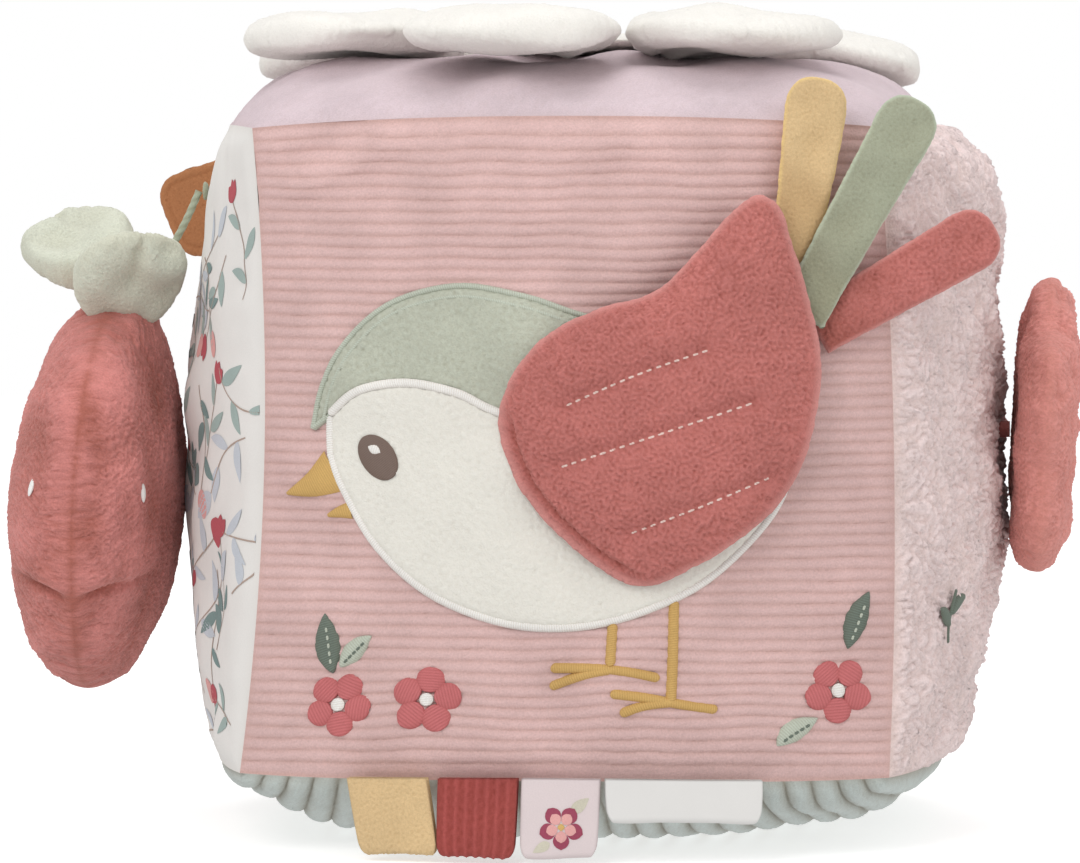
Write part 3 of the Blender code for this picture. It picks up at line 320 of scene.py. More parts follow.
def grid_faces(rows, columns, around=False):
    """Quads over a grid of points, closed the second way round if asked."""
    i, j = np.meshgrid(np.arange(rows - 1), np.arange(columns - (not around)), indexing="ij")
    i, j = i.ravel(), j.ravel()
    k = (j + 1) % columns
    return np.stack((i * columns + j, (i + 1) * columns + j, (i + 1) * columns + k,
                     i * columns + k), -1)


def smooth_run(points, steps):
    """Points of a smooth curve through the given ones."""
    points = np.asarray(points, float)
    ends = np.vstack((points[:1], points, points[-1:]))
    return catmull(ends, len(points) - 1, steps, points[-1:])


def smooth_loop(points, steps):
    points = np.asarray(points, float)
    ends = np.vstack((points[-1:], points, points[:2]))
    return catmull(ends, len(points), steps, points[:0])


def catmull(ends, spans, steps, last):
    t = (np.arange(steps) / steps)[:, None]
    out = []
    for i in range(spans):
        a, b, c, d = ends[i:i + 4]
        out.append(0.5 * (2 * b + (c - a) * t + (2 * a - 5 * b + 4 * c - d) * t ** 2
                          + (3 * b - a - 3 * c + d) * t ** 3))
    return np.vstack(out + [last])


def evenly(line, step, closed=False):
    """A line's points at an even step, and how far along each is."""
    line = np.asarray(line, float)
    if closed:
        line = np.vstack((line, line[:1]))
    along = np.concatenate(([0], np.cumsum(np.linalg.norm(np.diff(line, axis=0), axis=1))))
    count = max(3, int(round(along[-1] / step)))
    wanted = np.linspace(0, along[-1], count + 1)
    if closed:
        wanted = wanted[:-1]
    spots = np.stack([np.interp(wanted, along, line[:, k]) for k in range(line.shape[1])], -1)
    return spots, wanted


def inside(points, outline):
    """Which of the points lie in a closed outline."""
    x, y = points[:, :1], points[:, 1:]
    a, b = outline, np.roll(outline, -1, axis=0)
    crosses = (a[:, 1] > y) != (b[:, 1] > y)
    rise = np.where(b[:, 1] == a[:, 1], 1, b[:, 1] - a[:, 1])
    at = a[:, 0] + (y - a[:, 1]) * (b[:, 0] - a[:, 0]) / rise
    return (crosses & (x < at)).sum(axis=1) % 2 == 1


def line_distance(points, line, closed=False):
    """Distance of each point from a line."""
    a = np.asarray(line, float)
    b = np.roll(a, -1, axis=0)
    if not closed:
        a, b = a[:-1], b[:-1]
    best = np.full(len(points), 1.0)
    for start, end in zip(a, b):
        way = end - start
        share = np.clip((points - start) @ way / max(way @ way, 1e-18), 0, 1)
        best = np.minimum(best, np.linalg.norm(points - start - share[:, None] * way, axis=1))
    return best


def filled(outline, spacing):
    """Even points and triangles that fill a closed outline; the rim's points come first."""
    rim, _ = evenly(outline, spacing, closed=True)
    low, high = rim.min(0), rim.max(0)
    rows = np.arange(low[1], high[1], spacing * math.sqrt(3) / 2)
    spots = []
    for k, y in enumerate(rows):
        xs = np.arange(low[0] + (k % 2) * spacing / 2, high[0], spacing)
        spots.append(np.stack((xs, np.full_like(xs, y)), -1))
    spots = np.vstack(spots)
    spots = spots[inside(spots, rim)]
    spots = spots[line_distance(spots, rim, True) > 0.45 * spacing]
    points = np.vstack((rim, spots))
    count = len(rim)
    edges = [(k, (k + 1) % count) for k in range(count)]
    scaled = [Vector(p) for p in (points / MM).tolist()]
    made = delaunay_2d_cdt(scaled, edges, [], 1, 1e-5, False)
    points, faces = np.array([tuple(v) for v in made[0]]) * MM, np.array(made[2])
    return points, faces[inside(points[faces].mean(axis=1), rim)], count


# The stuffed block and its skin

def stuffed(a, b, c):
    """Place of the unit cube's point (a, b, c) in the stuffed block."""
    across, along, up = 1 - a * a, 1 - b * b, 1 - c * c
    spread = 1 - BASE_SPREAD * c
    x = HALF_WIDTH * spread + np.where(a < 0, BULGES["left"], BULGES["right"]) * along * up
    x = x + SEAM_BOW * along * c * c - SEAM_DRAW * up * b * b
    y = HALF_DEPTH * spread + np.where(b < 0, BULGES["front"], BULGES["back"]) * across * up
    y = y + SEAM_BOW * across * c * c - SEAM_DRAW * up * a * a
    top = BULGES["top"] * (1 - abs(a) ** 3) * (1 - abs(b) ** 3)
    base = BULGES["base"] * (1 - a ** 4) * (1 - b ** 4)
    sag = SEAM_SAG - TOP_BOW * np.maximum(c, 0) ** 4
    z = HALF_HEIGHT + np.where(c > 0, top, base) - sag * (across * b * b + along * a * a)
    return np.stack((a * x + LEAN * up, b * y, c * z + CENTRE), -1)


def cube_face(face, depth, u, v):
    axis, side = FACES[face]
    unit = [u, v]
    unit.insert(axis, side * depth)
    return stuffed(*np.broadcast_arrays(*unit))


def skin_base(face, u, v):
    """The panel's skin: rolled in at its seams, puckered there and a little rumpled."""
    du, dv = (1 - abs(u)) * HALF_WIDTH, (1 - abs(v)) * HALF_WIDTH
    near = np.minimum(du, dv)
    eu, ev = np.exp(-(du / ROLL_WIDTH) ** 2), np.exp(-(dv / ROLL_WIDTH) ** 2)
    sink = ROLL * (1 - (1 - eu) * (1 - ev))
    seed = 37 * MM * list(FACES).index(face)
    x, y = u * HALF_WIDTH + seed, v * HALF_HEIGHT - seed
    calm = 1 - np.exp(-(near / (5 * MM)) ** 2)
    sink = sink + 0.55 * MM * RUMPLE.at(x, y) * calm
    along = np.where(du < dv, y, x)
    pucker = CREASE.at(along, seed + 0 * along) * np.exp(-near / (7 * MM)) * calm
    sink = sink + 0.45 * MM * pucker
    if face in FOLDS:
        sink = sink + FOLDS[face](u, v)
    points = cube_face(face, 1 - sink / HALF_WIDTH, u * EDGE, v * EDGE)
    if face == "right":
        points[..., 0] += shoulder(u, v)
    return points


# Start, end, depth and width of each crease, in millimetres; a depth below 0 stands out
FRONT_CREASES = (
    ((-76, 67), (-46, 75), 1.1, 3.0), ((-76, 59), (-36, 73), -1.6, 3.2),
    ((72, 66), (52, 73), 0.7, 2.5),
)


def front_folds(u, v):
    """Soft creases that run from the upper corners into the panel."""
    x, z = u * HALF_WIDTH, v * HALF_HEIGHT
    out = 0 * u
    for start, end, depth, width in FRONT_CREASES:
        a, way = np.array(start) * MM, (np.array(end) - start) * MM
        share = np.clip(((x - a[0]) * way[0] + (z - a[1]) * way[1]) / (way @ way), 0, 1)
        off = np.hypot(x - a[0] - share * way[0], z - a[1] - share * way[1])
        fade = np.sin(math.pi * share) ** 0.5
        out = out + depth * MM * np.exp(-(off / (width * MM)) ** 2) * fade
    return out


def top_folds(u, v):
    """Full shoulders where the top rises from its side seams."""
    share = abs(u)
    rise = (share ** 3 - share ** 6) * np.clip((share - 0.35) / 0.3, 0, 1) * (1 - v ** 4)
    return -13.5 * MM * rise


def shoulder(u, v):
    """How far the right panel stands out over the plush flower."""
    rise = 3.2 * np.clip((v - 0.3) / 0.4, 0, 1) * (1 - v ** 8)
    rise = rise + 5.4 * np.exp(-((v - 0.86) / 0.15) ** 2) * (1 - v ** 30)
    return rise * MM * (1 - u ** 4)


FOLDS = {"front": front_folds, "top": top_folds}


SKIN_STEP = 0.004


def skin(face, u, v, lift=0.0):
    """Point of a panel's skin, lifted off it along its normal."""
    u, v = np.broadcast_arrays(np.asarray(u, float), np.asarray(v, float))
    points = skin_base(face, u, v)
    wu, wv = (np.where(share > 0, -SKIN_STEP, SKIN_STEP) for share in (u, v))
    along_u = (skin_base(face, u + wu, v) - points) / wu[..., None]
    along_v = (skin_base(face, u, v + wv) - points) / wv[..., None]
    normal = unit(np.cross(along_u, along_v))
    outward = np.sign(np.sum(normal * (points - (0, 0, CENTRE)), axis=-1, keepdims=True))
    return points + normal * outward * np.asarray(lift)[..., None]


def on_front(x, z, lift=0.0):
    """Point over place x, z of the front panel's flat pattern."""
    return skin("front", x / HALF_WIDTH / EDGE, z / HALF_HEIGHT / EDGE, lift)


def panel(face, look, counts, relief):
    """A sewn panel; its relief gives its height and how light it is painted, and shade is
    painted along its seams.
    """
    u, v = np.meshgrid(*(np.linspace(-1, 1, n) for n in counts), indexing="ij")
    height, shade_and_tone = relief(u * HALF_WIDTH, v * HALF_HEIGHT)
    near = np.exp(-(np.minimum(1 - abs(u), 1 - abs(v)) * HALF_WIDTH / GRIP) ** 2)
    points = skin(face, u, v, height * (1 - near))
    if face == "base":
        points[..., 2] = np.maximum(points[..., 2], 0)
    # Painted shade along the seams
    shade_and_tone = np.clip(shade_and_tone, 0, 1) * (1 - 0.4 * near)
    faces = grid_faces(*counts)
    if FACES[face][1] * (-1 if FACES[face][0] == 1 else 1) < 0:
        faces = faces[:, ::-1]
    thing = make(face + "_look", points.reshape(-1, 3), faces, look, "block", shade_and_tone.ravel(),
                 face + "_panel")


def rib_relief(x, z):
    """Fine ribs that run across the front, with shade painted into the grooves between them."""
    pitch = 2.72 * MM
    phase = (z + 0.07 * MM * RUMPLE.at(x * 1.7, z * 2.5)) / pitch
    ridge = abs(np.sin(math.pi * phase)) ** 0.6
    fuzz = CRUMB.at(x, z * 1.6)
    return (0.5 * ridge - 0.4 + 0.05 * fuzz) * MM, 0.2 + 0.7 * ridge + 0.08 * fuzz


def even_relief(noise, height, shade_and_tone, spread):
    """Relief of a smooth cloth, from one noise: its height in millimetres, and how light it is
    painted: a base value, with shade painted into the dips of the same noise.
    """
    def relief(x, y):
        fuzz = noise.at(x, y)
        return height * MM * fuzz, shade_and_tone + spread * fuzz

    return relief


FLOWER_SEAT = JOINTS["plush_flower_twist"][0][1:] - (0, CENTRE)


def sherpa_relief(y, z):
    """Short curly wool: round tufts over smaller ones, thicker round the flower, with shade
    painted between the tufts.
    """
    bend_y, bend_z = (0.8 * MM * CREASE.at(y + k, z - k) for k in (0, 0.05))
    tuft = np.minimum(abs(CURL.at(y + bend_y, z + bend_z)), 1.6)
    curl = np.minimum(abs(WORM.at(y + bend_z, z + bend_y)), 1.6)
    fuzz = CRUMB.at(y, z)
    broad = RUMPLE.at(2.6 * y, 2.6 * z)
    out = np.hypot(y - FLOWER_SEAT[0], z - FLOWER_SEAT[1]) / MM
    ring = 0.8 * np.exp(-((out - 30) / 12) ** 2)
    height = 0.5 + 0.6 * tuft + 0.42 * curl + 0.1 * fuzz + 0.35 * broad + ring
    return height * MM, 0.55 + 0.22 * tuft + 0.17 * curl + 0.06 * fuzz


def jumbo_relief(x, y):
    """Wide ribs from front to back, cut flat where the block stands, with shade painted between
    the ribs.
    """
    phase = (x / HALF_WIDTH + 1) / 2 * RIB_COUNT
    ridge = abs(np.sin(math.pi * phase)) ** 0.6
    fuzz = CRUMB.at(x * 1.5, y * 0.6)
    return RIB_HEIGHT * ridge + 0.06 * MM * fuzz, 0.1 + 0.85 * ridge + 0.08 * fuzz


# Camera, light and floor

WHITE = (1, 1, 1, 1)
TARGET = Vector((0, 0, 93.2 * MM))
VIEW_TURN, VIEW_RISE, VIEW_AWAY = math.radians(4), math.radians(2), 1.2
FLOOR_HALF = 4
scene = bpy.context.scene


def aimed(name, data, place):
    """Adds a camera or a lamp that looks at the target."""
    thing = bpy.data.objects.new(name, data)
    thing.location = place
    thing.rotation_euler = (TARGET - Vector(place)).to_track_quat("-Z", "Y").to_euler()
    scene.collection.objects.link(thing)
    return thing


camera = bpy.data.cameras.new("camera")
camera.lens = 162.5
camera.shift_x, camera.shift_y = -0.0417, 0.0088
scene.camera = aimed("camera", camera, TARGET + VIEW_AWAY * Vector(
    (math.sin(VIEW_TURN) * math.cos(VIEW_RISE), -math.cos(VIEW_TURN) * math.cos(VIEW_RISE),
     math.sin(VIEW_RISE))))
scene.view_settings.view_transform = "Standard"
for name, place, size, power in (("key", (-0.45, -0.9, 0.75), 0.75, 4.1),
                                 ("fill", (1.5, -1.1, 0.4), 1.4, 6),
                                 ("top", (0.1, 0.2, 1.8), 1.2, 7)):
    lamp = bpy.data.lights.new(name, "AREA")
    lamp.shape, lamp.size, lamp.energy = "DISK", size, power
    aimed(name, lamp, place)


def emptied(data):
    """The emptied node tree of a world or a material."""
    data.use_nodes = True
    data.node_tree.nodes.clear()
    return data.node_tree


def by_ray(tree, cast, seen, output):
    """Shows one shader to the camera and the other to every other ray."""
    choice = add(tree, "MixShader")
    seen_by = add(tree, "LightPath").outputs["Is Camera Ray"]
    for index, socket in enumerate((seen_by, cast.outputs[0], seen.outputs[0])):
        tree.links.new(socket, choice.inputs[index])
    tree.links.new(choice.outputs[0], add(tree, output).inputs["Surface"])


scene.world = bpy.data.worlds.new("studio")
tree = emptied(scene.world)
by_ray(tree, add(tree, "Background", Color=WHITE, Strength=0.72),
       add(tree, "Background", Color=WHITE, Strength=1.0), "OutputWorld")

# The camera sees a bright floor that keeps the block's soft shadow
paper = bpy.data.materials.new("pale paper")
tree = emptied(paper)
shaded = add(tree, "AddShader")
for index, part in enumerate((add(tree, "Emission", Color=WHITE, Strength=0.5),
                              add(tree, "BsdfDiffuse", Color=(0.8, 0.8, 0.8, 1)))):
    tree.links.new(part.outputs[0], shaded.inputs[index])
by_ray(tree, add(tree, "Emission", Color=WHITE, Strength=0.78), shaded, "OutputMaterial")
ground = bpy.data.meshes.new("floor")
ground.from_pydata([(FLOOR_HALF * a, FLOOR_HALF * b, 0)
                    for a, b in ((-1, -1), (1, -1), (1, 1), (-1, 1))], [], [(0, 1, 2, 3)])
ground.materials.append(paper)
floor = bpy.data.objects.new("floor", ground)
scene.collection.objects.link(floor)


# Frames of the sewn-on pieces

def plane(spot, x, y, z):
    """Places pattern points in a frame: (x, y, height) to the part's own frame."""
    spot, x, y, z = (np.asarray(item, float) for item in (spot, x, y, z))

    def place(across, along, height):
        across, along, height = np.broadcast_arrays(across, along, height)
        return spot + across[..., None] * x + along[..., None] * y + height[..., None] * z

    return place


def way_out(node, spot):
    """Unit way from a spot to the middle of the CAD piece's furthest points."""
    points = np.array([v.co[:] for v in frame["nodes"][node].data.vertices]) - spot
    reach = np.linalg.norm(points, axis=1)
    return unit(points[reach > reach.max() - 0.01 * MM].mean(axis=0))


def carry(thing, body):
    """The piece rides a body; given two bodies and two spots instead, its place is only baked
    into its points.
    """
    if isinstance(body, str):
        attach(thing, body)
    else:
        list(body[:2])
        tuple(body[2])
        tuple(body[3])
        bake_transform(thing)


# The strawberry's cord

CORD_RADIUS, CORD_SIDES, CORD_TWIST = 1.1 * MM, 16, 2.4 * MM
CORD_SHARES = ((0, 0), (0.16, 0.26), (0.4, 0.55), (0.72, 0.8), (0.94, 0.9), (1, 1))
BERRY_FORWARD, BERRY_WIDTH, BERRY_HEIGHT = 15 * MM, 86 * MM, 87.5 * MM
BERRY_PUFFS, BERRY_TILT = (22 * MM, 19.5 * MM), 0.07
berry_spot = np.array((float(stuffed(-1.0, 0.0, 0.0)[0]) - CLEARANCE - BERRY_PUFFS[1],
                       -BERRY_FORWARD, CENTRE - 15.2 * MM))
upright_place = plane(berry_spot, (0, -1, 0), (0, 0, 1), (-1, 0, 0))
berry_top = berry_spot + (0, 0, BERRY_HEIGHT / 2)
cord_start = JOINTS["strawberry_swing"][0]
cord_span = berry_top + (0, 0, CLEARANCE) - cord_start
cord_line = smooth_run([cord_start + cord_span * (a, a, b) for a, b in CORD_SHARES], 3)


def berry_place(x, y, h):
    """Places the strawberry's pattern points: a neck on top, its foot a little outwards."""
    share = y / BERRY_HEIGHT * 2
    neck = 6 * MM * np.clip(share, 0, 1) ** 10 * np.exp(-(x / (14 * MM)) ** 2)
    y = y + 4.6 * MM * np.clip(share, 0, 1) ** 3 - 1.8 * MM * np.clip(-share, 0, 1) ** 2 + neck
    h = h * (1 + 0.35 * np.clip(share, 0, 1) ** 8)
    return upright_place(x, y, h - BERRY_TILT * y)


def twisted_cord():
    """A two-ply cord: a tube with a groove that winds round it, and shade painted in the groove.
    """
    line, along = evenly(smooth_run(cord_line, 8), 0.25 * MM)
    way = unit(np.gradient(line, axis=0))
    side = unit(np.cross(way, (0.0, 1.0, 0.0)))
    other = np.cross(side, way)
    angle = circle(CORD_SIDES)[None, :]
    ply = abs(np.cos(angle + along[:, None] / CORD_TWIST * math.pi))
    radius = CORD_RADIUS * (0.7 + 0.14 * ply ** 0.6)
    points = line[:, None] + radius[..., None] * (
        np.cos(angle)[..., None] * side[:, None] + np.sin(angle)[..., None] * other[:, None])
    thing = make("strawberry_cord_look", points.reshape(-1, 3),
                 grid_faces(len(line), CORD_SIDES, around=True), "cord", "strawberry",
                 (0.4 + 0.6 * ply).ravel(), "strawberry_cord")
    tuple(cord_start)


twisted_cord()


# Panels

for face, look, counts, relief in (
        ("front", "rib", (190, 505), rib_relief),
        ("left", "cotton", (150, 150), even_relief(CREASE, 0.03, 1, 0)),
        ("back", "cotton", (120, 120), even_relief(CREASE, 0.03, 1, 0)),
        ("right", "sherpa", (340, 340), sherpa_relief),
        ("top", "lilac", (170, 170), even_relief(CRUMB, 0.05, 0.85, 0.1)),
        ("base", "jumbo", (301, 100), jumbo_relief)):
    panel(face, look, counts, relief)


# Stitching

THREAD_LEAN = 0.35


def band(line, half, step, t, round_ends=False):
    """A band along a line: its points, how far along they lie, and its half width.

    The half width is a number or gives one per share of the line's length."""
    spots, along = evenly(line, step)
    share = along / along[-1]
    width = half(share) if callable(half) else np.full(len(share), half)
    if round_ends:
        tip = np.minimum(along, along[-1] - along) / np.maximum(width, 0.1 * MM)
        width = width * rounded(tip, 0.02)
    way = unit(np.gradient(spots, axis=0))
    side = np.stack((-way[:, 1], way[:, 0]), -1)
    return spots[:, None] + side[:, None] * (t * width[:, None])[..., None], along, width


def stitched(name, look, runs, node=None, place=on_front, body="block", bulge=0.7 * MM,
             low=0.0, pitch=0.55 * MM, ends=True, across=7):
    """Satin stitch along lines: threads side by side over a rounded band, with shade painted
    between the threads and towards the band's edges.

    A run is a line and its half width; pitch is the width of a thread."""
    points, faces, shades_and_tones, total = [], [], [], 0
    t = np.linspace(-1, 1, across)[None, :]
    dome = np.sqrt(np.clip(1 - t ** 2, 0, 1))
    for line, half in runs:
        flat, along, width = band(line, half, pitch / 4, t, ends)
        thread = abs(np.sin(math.pi * (along[:, None] / pitch + THREAD_LEAN * t)))
        thin = np.clip(width / (0.8 * MM), 0.25, 1)[:, None]
        height = low + bulge * dome * thin * (0.82 + 0.18 * thread)
        points.append(place(flat[..., 0].ravel(), flat[..., 1].ravel(), height.ravel()))
        faces.append(grid_faces(len(along), across)[:, ::-1] + total)
        # Painted shade between the threads and on the band's flanks
        shades_and_tones.append(((0.25 + 0.75 * thread) * (0.55 + 0.45 * dome)).ravel())
        total += len(points[-1])
    make(name, np.vstack(points), np.vstack(faces), look, body, np.concatenate(shades_and_tones), node)


def leaf_width(half, point=0.7):
    """Half width of a leaf along its length."""
    return lambda share: half * np.sin(math.pi * share ** point) ** 0.85 + 0.05 * MM


def lobe_width(half):
    """Half width of a round lobe along its length."""
    return lambda share: half * np.sqrt(np.clip(4 * share * (1 - share), 0.02, 1)) ** 0.9


def ray(start, angle, length, bend=0.0, count=8):
    """A slightly bent line from a point, at an angle in degrees."""
    share = np.linspace(0, 1, count)
    way = direction(angle)
    side = np.array((-way[1], way[0]))
    return (np.asarray(start) + share[:, None] * way * length
            + np.sin(math.pi * share)[:, None] * side * bend)


def heading(ends):
    """Angle and length of the line between two spots given in millimetres."""
    (x, y), (far_x, far_y) = ends
    return (math.degrees(math.atan2(far_y - y, far_x - x)),
            math.hypot(far_x - x, far_y - y) * MM)


# Bird

BIRD_BOX = (-61, -39.5, 118, 78)
BACK_RUN = ((0, 0.58), (0.035, 0.78), (0.15, 0.945), (0.29, 1), (0.43, 0.975),
            (0.585, 0.905), (0.77, 0.905), (0.95, 0.97))
DIVIDE = ((0.035, 0.62), (0.09, 0.695), (0.19, 0.718), (0.29, 0.69), (0.37, 0.635),
          (0.52, 0.57), (0.69, 0.585), (0.83, 0.695), (0.955, 0.83))
BELLY_RUN = ((0.965, 0.72), (0.945, 0.47), (0.897, 0.31), (0.755, 0.11), (0.585, 0.01),
             (0.43, 0), (0.26, 0.08), (0.135, 0.23), (0.06, 0.4), (0.035, 0.5))

EYE, BEAK = boxed(BIRD_BOX, ((0.14, 0.49), (0.035, 0.4)))


def applique(node, outline, look):
    """A plush cut-out sewn flat on the front panel, with shade painted into the dips of its
    fuzz.
    """
    flat, faces, rim = filled(outline, 0.75 * MM)
    edge = rounded(line_distance(flat, flat[:rim], True) / (2.2 * MM))
    fuzz = CRUMB.at(flat[:, 0], flat[:, 1])
    soft = WORM.at(flat[:, 0], flat[:, 1])
    points = on_front(flat[:, 0], flat[:, 1], (1.3 + 0.09 * fuzz + 0.08 * soft) * MM * edge)
    make(node + "_look", points, faces, look, "block", 0.78 + 0.1 * fuzz + 0.1 * soft, node)


back_line, divide_line, belly_line = (
    smooth_run(boxed(BIRD_BOX, run), 6) for run in (BACK_RUN, DIVIDE, BELLY_RUN))
applique("bird_back", np.vstack((back_line, divide_line[::-1])), "sage")
applique("bird_belly", np.vstack((divide_line, belly_line)), "belly")
stitched("bird_back_edge", "sage_thread",
         [(np.vstack((divide_line[:1], back_line, divide_line[-1:])), 0.8 * MM)],
         bulge=1.15 * MM, low=0.2 * MM)
inner_edge, _ = evenly(back_line, 1 * MM)
way = unit(np.gradient(inner_edge, axis=0))
inner_edge = inner_edge + np.stack((way[:, 1], -way[:, 0]), -1) * 2.4 * MM
stitched("bird_back_inner_edge", "sage_thread", [(inner_edge[2:-2], 0.4 * MM)],
         bulge=0.35 * MM, low=1.25 * MM)
stitched("bird_belly_edge", "white_thread",
         [(np.vstack((belly_line, divide_line[:1])), 1.1 * MM),
          (np.vstack((divide_line[-1:], belly_line[:1])), 1.1 * MM)],
         bulge=1.15 * MM, low=0.2 * MM)
stitched("bird_cheek_edge", "white_thread", [(divide_line, 1.0 * MM)], bulge=0.55 * MM,
         low=1.2 * MM)

stitched("bird_eye_look", "brown_thread",
         [(ray(EYE + (-4.2 * MM, 5.2 * MM), -53, 11.8 * MM, 0, 12),
           lambda s: 4.1 * MM * np.sqrt(np.clip(4 * s * (1 - s), 0.004, 1)))],
         "bird_eye", bulge=0.4 * MM, low=1.5 * MM, ends=False, across=15, pitch=0.45 * MM)
stitched("bird_eye_glint", "white_thread",
         [(ray(EYE + (-2.9 * MM, 3.0 * MM), -25, 3.2 * MM), leaf_width(1.1 * MM, 1))],
         bulge=0.35 * MM, low=1.8 * MM, ends=False)
upper_line = BEAK + np.array(((0.9, 4.2), (-4.7, 1.0), (-11.4, -1.3))) * MM
lower_line = BEAK + np.array(((5.0, -4.8), (2.2, -5.3), (-0.8, -6.2))) * MM
stitched("bird_beak_look", "mustard_thread",
         [(smooth_run(upper_line, 5), lambda s: (4.9 * (1 - s) ** 0.9 + 0.35) * MM),
          (smooth_run(lower_line, 5), lambda s: (1.7 * (1 - s) ** 0.8 + 0.4) * MM)],
         "bird_beak", bulge=0.75 * MM, low=0.2 * MM, ends=False, across=11)

# Each leg's hip and ankle, then the two ends of each foot line, in millimetres
LEGS = (("near", (24.2, -33.6), (24.2, -57.6), ((10.6, -55.8), (35, -59.4)),
         ((13, -60.4), (24.6, -57.2))),
        ("far", (10.3, -38.8), (10.3, -49.4), ((-3.4, -49.2), (21.5, -51.8)),
         ((-3.4, -53.4), (10.8, -50.2))))
for name, hip, ankle, *toes in LEGS:
    runs = [(np.array((hip, ankle)) * MM, 1.2 * MM)]
    for toe in toes:
        runs.append((ray(np.array(toe[0]) * MM, *heading(toe), 0.5 * MM), 1.15 * MM))
    stitched(f"bird_{name}_leg_look", "mustard_thread", runs, f"bird_{name}_leg",
             bulge=0.9 * MM)

# Centre, radius and first lobe's angle; middle, angle, length, half width and dark or not
BLOSSOMS = (((-51.9, -58.3), 7.6, 62), ((-31.4, -57.6), 8.2, 84), ((61.8, -54.5), 7.6, 54))
LEAVES = (((-55.7, -44.2), 105, 14, 3.0, True), ((-49, -46), 47, 10, 2.4, False),
          ((66.2, -38.4), 70, 14, 2.6, True), ((53, -64.3), 38, 11, 2.3, False))


def blossom_runs(centre, radius, first):
    """Five round stitched lobes about a centre."""
    return [(ray(centre + 0.22 * radius * direction(angle), angle, 0.78 * radius),
             lobe_width(0.42 * radius)) for angle in (first + 72 * k for k in range(5))]


for k, (spot, radius, first) in enumerate(BLOSSOMS):
    centre, name = np.array(spot) * MM, f"blossom_{k + 1}"
    stitched(name + "_look", "rose_thread", blossom_runs(centre, radius * MM, first), name,
             bulge=0.8 * MM, ends=False, across=11, pitch=0.7 * MM)
    stitched(name + "_heart", "white_thread",
             [(ray(centre - (0, 1.6 * MM), 90, 3.2 * MM), lobe_width(1.6 * MM))],
             bulge=0.7 * MM, low=0.6 * MM, ends=False)
for k, (spot, angle, length, half, dark) in enumerate(LEAVES):
    way, name = direction(angle), f"leaf_{k + 1}"
    start = (np.array(spot) - length / 2 * way) * MM
    looks = ("leaf_thread", "sage_thread") if dark else ("sage_thread", "leaf_thread")
    stitched(name + "_look", looks[0],
             [(ray(start, angle, length * MM, 0.5 * MM), leaf_width(half * MM, 0.9))], name,
             bulge=0.8 * MM, ends=False, across=9)
    veins = [(ray(start + way * length * share * MM, angle, 1.1 * MM), 0.3 * MM)
             for share in np.arange(0.16, 0.7, 0.13)]
    stitched(name + "_vein", looks[1], veins, bulge=0.4 * MM, low=0.8 * MM)


# Pads

CLOTH_SCALE, CLOTH_STEPS, SETTLE_SHARE = 12.0, 16, 0.35
CLOTH_SETTINGS = {
    "quality": 5, "mass": 0.4, "tension_stiffness": 30, "compression_stiffness": 30,
    "shear_stiffness": 10, "bending_stiffness": 0.3, "air_damping": 4, "use_pressure": True}


def settled(points, faces, pressure):
    """Mixes in how a sewn pad fills out as cloth, simulated at a larger scale."""
    mesh = bpy.data.meshes.new("bag")
    mesh.from_pydata((points * CLOTH_SCALE).tolist(), [], faces.tolist())
    bag = bpy.data.objects.new("bag", mesh)
    scene.collection.objects.link(bag)
    modifier = bag.modifiers.new("cloth", "CLOTH")
    settings, cache = modifier.settings, modifier.point_cache
    for key, value in CLOTH_SETTINGS.items():
        setattr(settings, key, value)
    settings.uniform_pressure_force = pressure
    settings.effector_weights.gravity = 0
    modifier.collision_settings.use_collision = False
    cache.frame_start, cache.frame_end = 1, CLOTH_STEPS
    for step in range(1, CLOTH_STEPS + 1):
        scene.frame_set(step)
    formed = bag.evaluated_get(bpy.context.evaluated_depsgraph_get()).data
    moved = np.empty(len(points) * 3, dtype=np.float32)
    formed.vertices.foreach_get("co", moved)
    bpy.data.objects.remove(bag)
    bpy.data.meshes.remove(mesh)
    scene.frame_set(1)
    moved = moved.reshape(-1, 3).astype(float) / CLOTH_SCALE
    low, wanted = moved.min(0), points.min(0)
    moved = wanted + (moved - low) / (moved.max(0) - low) * (points.max(0) - wanted)
    return points + SETTLE_SHARE * (moved - points)


def rim_share(points, rim, middle):
    """How far out each point lies: 0 in the middle, 1 on the rim."""
    out, edge = points - middle, rim - middle
    turn = np.arctan2(edge[:, 1], edge[:, 0])
    order = np.argsort(turn)
    reach = np.interp(np.arctan2(out[:, 1], out[:, 0]), turn[order],
                      np.hypot(*edge.T)[order], period=2 * math.pi)
    return np.hypot(*out.T) / reach


# Fine fuzz: its height, and shade painted into its dips
def fine_pile_and_shade(x, y, h, gap):
    fuzz = 0.7 * (CRUMB.at(x + h, y - h) + CRUMB.at(x - h + 40 * MM, y + h))
    return 0.1 * MM * fuzz, 0.84 + 0.12 * fuzz


def worm_pile_and_shade(x, y, h, gap):
    """Short curly nap, as on the rose plush: its height, and shade painted into the dips between
    the curls.
    """
    curl = np.tanh(0.8 * (FINE.at(x + h, y - h) + FINE.at(x - h + 40 * MM, y + h)))
    broad = WORM.at(0.45 * x + h, 0.45 * y)
    fuzz = CRUMB.at(x + h, y - h)
    return ((0.22 * curl + 0.07 * fuzz + 0.08 * broad) * MM,
            0.7 + 0.2 * curl + 0.07 * fuzz + 0.05 * broad)


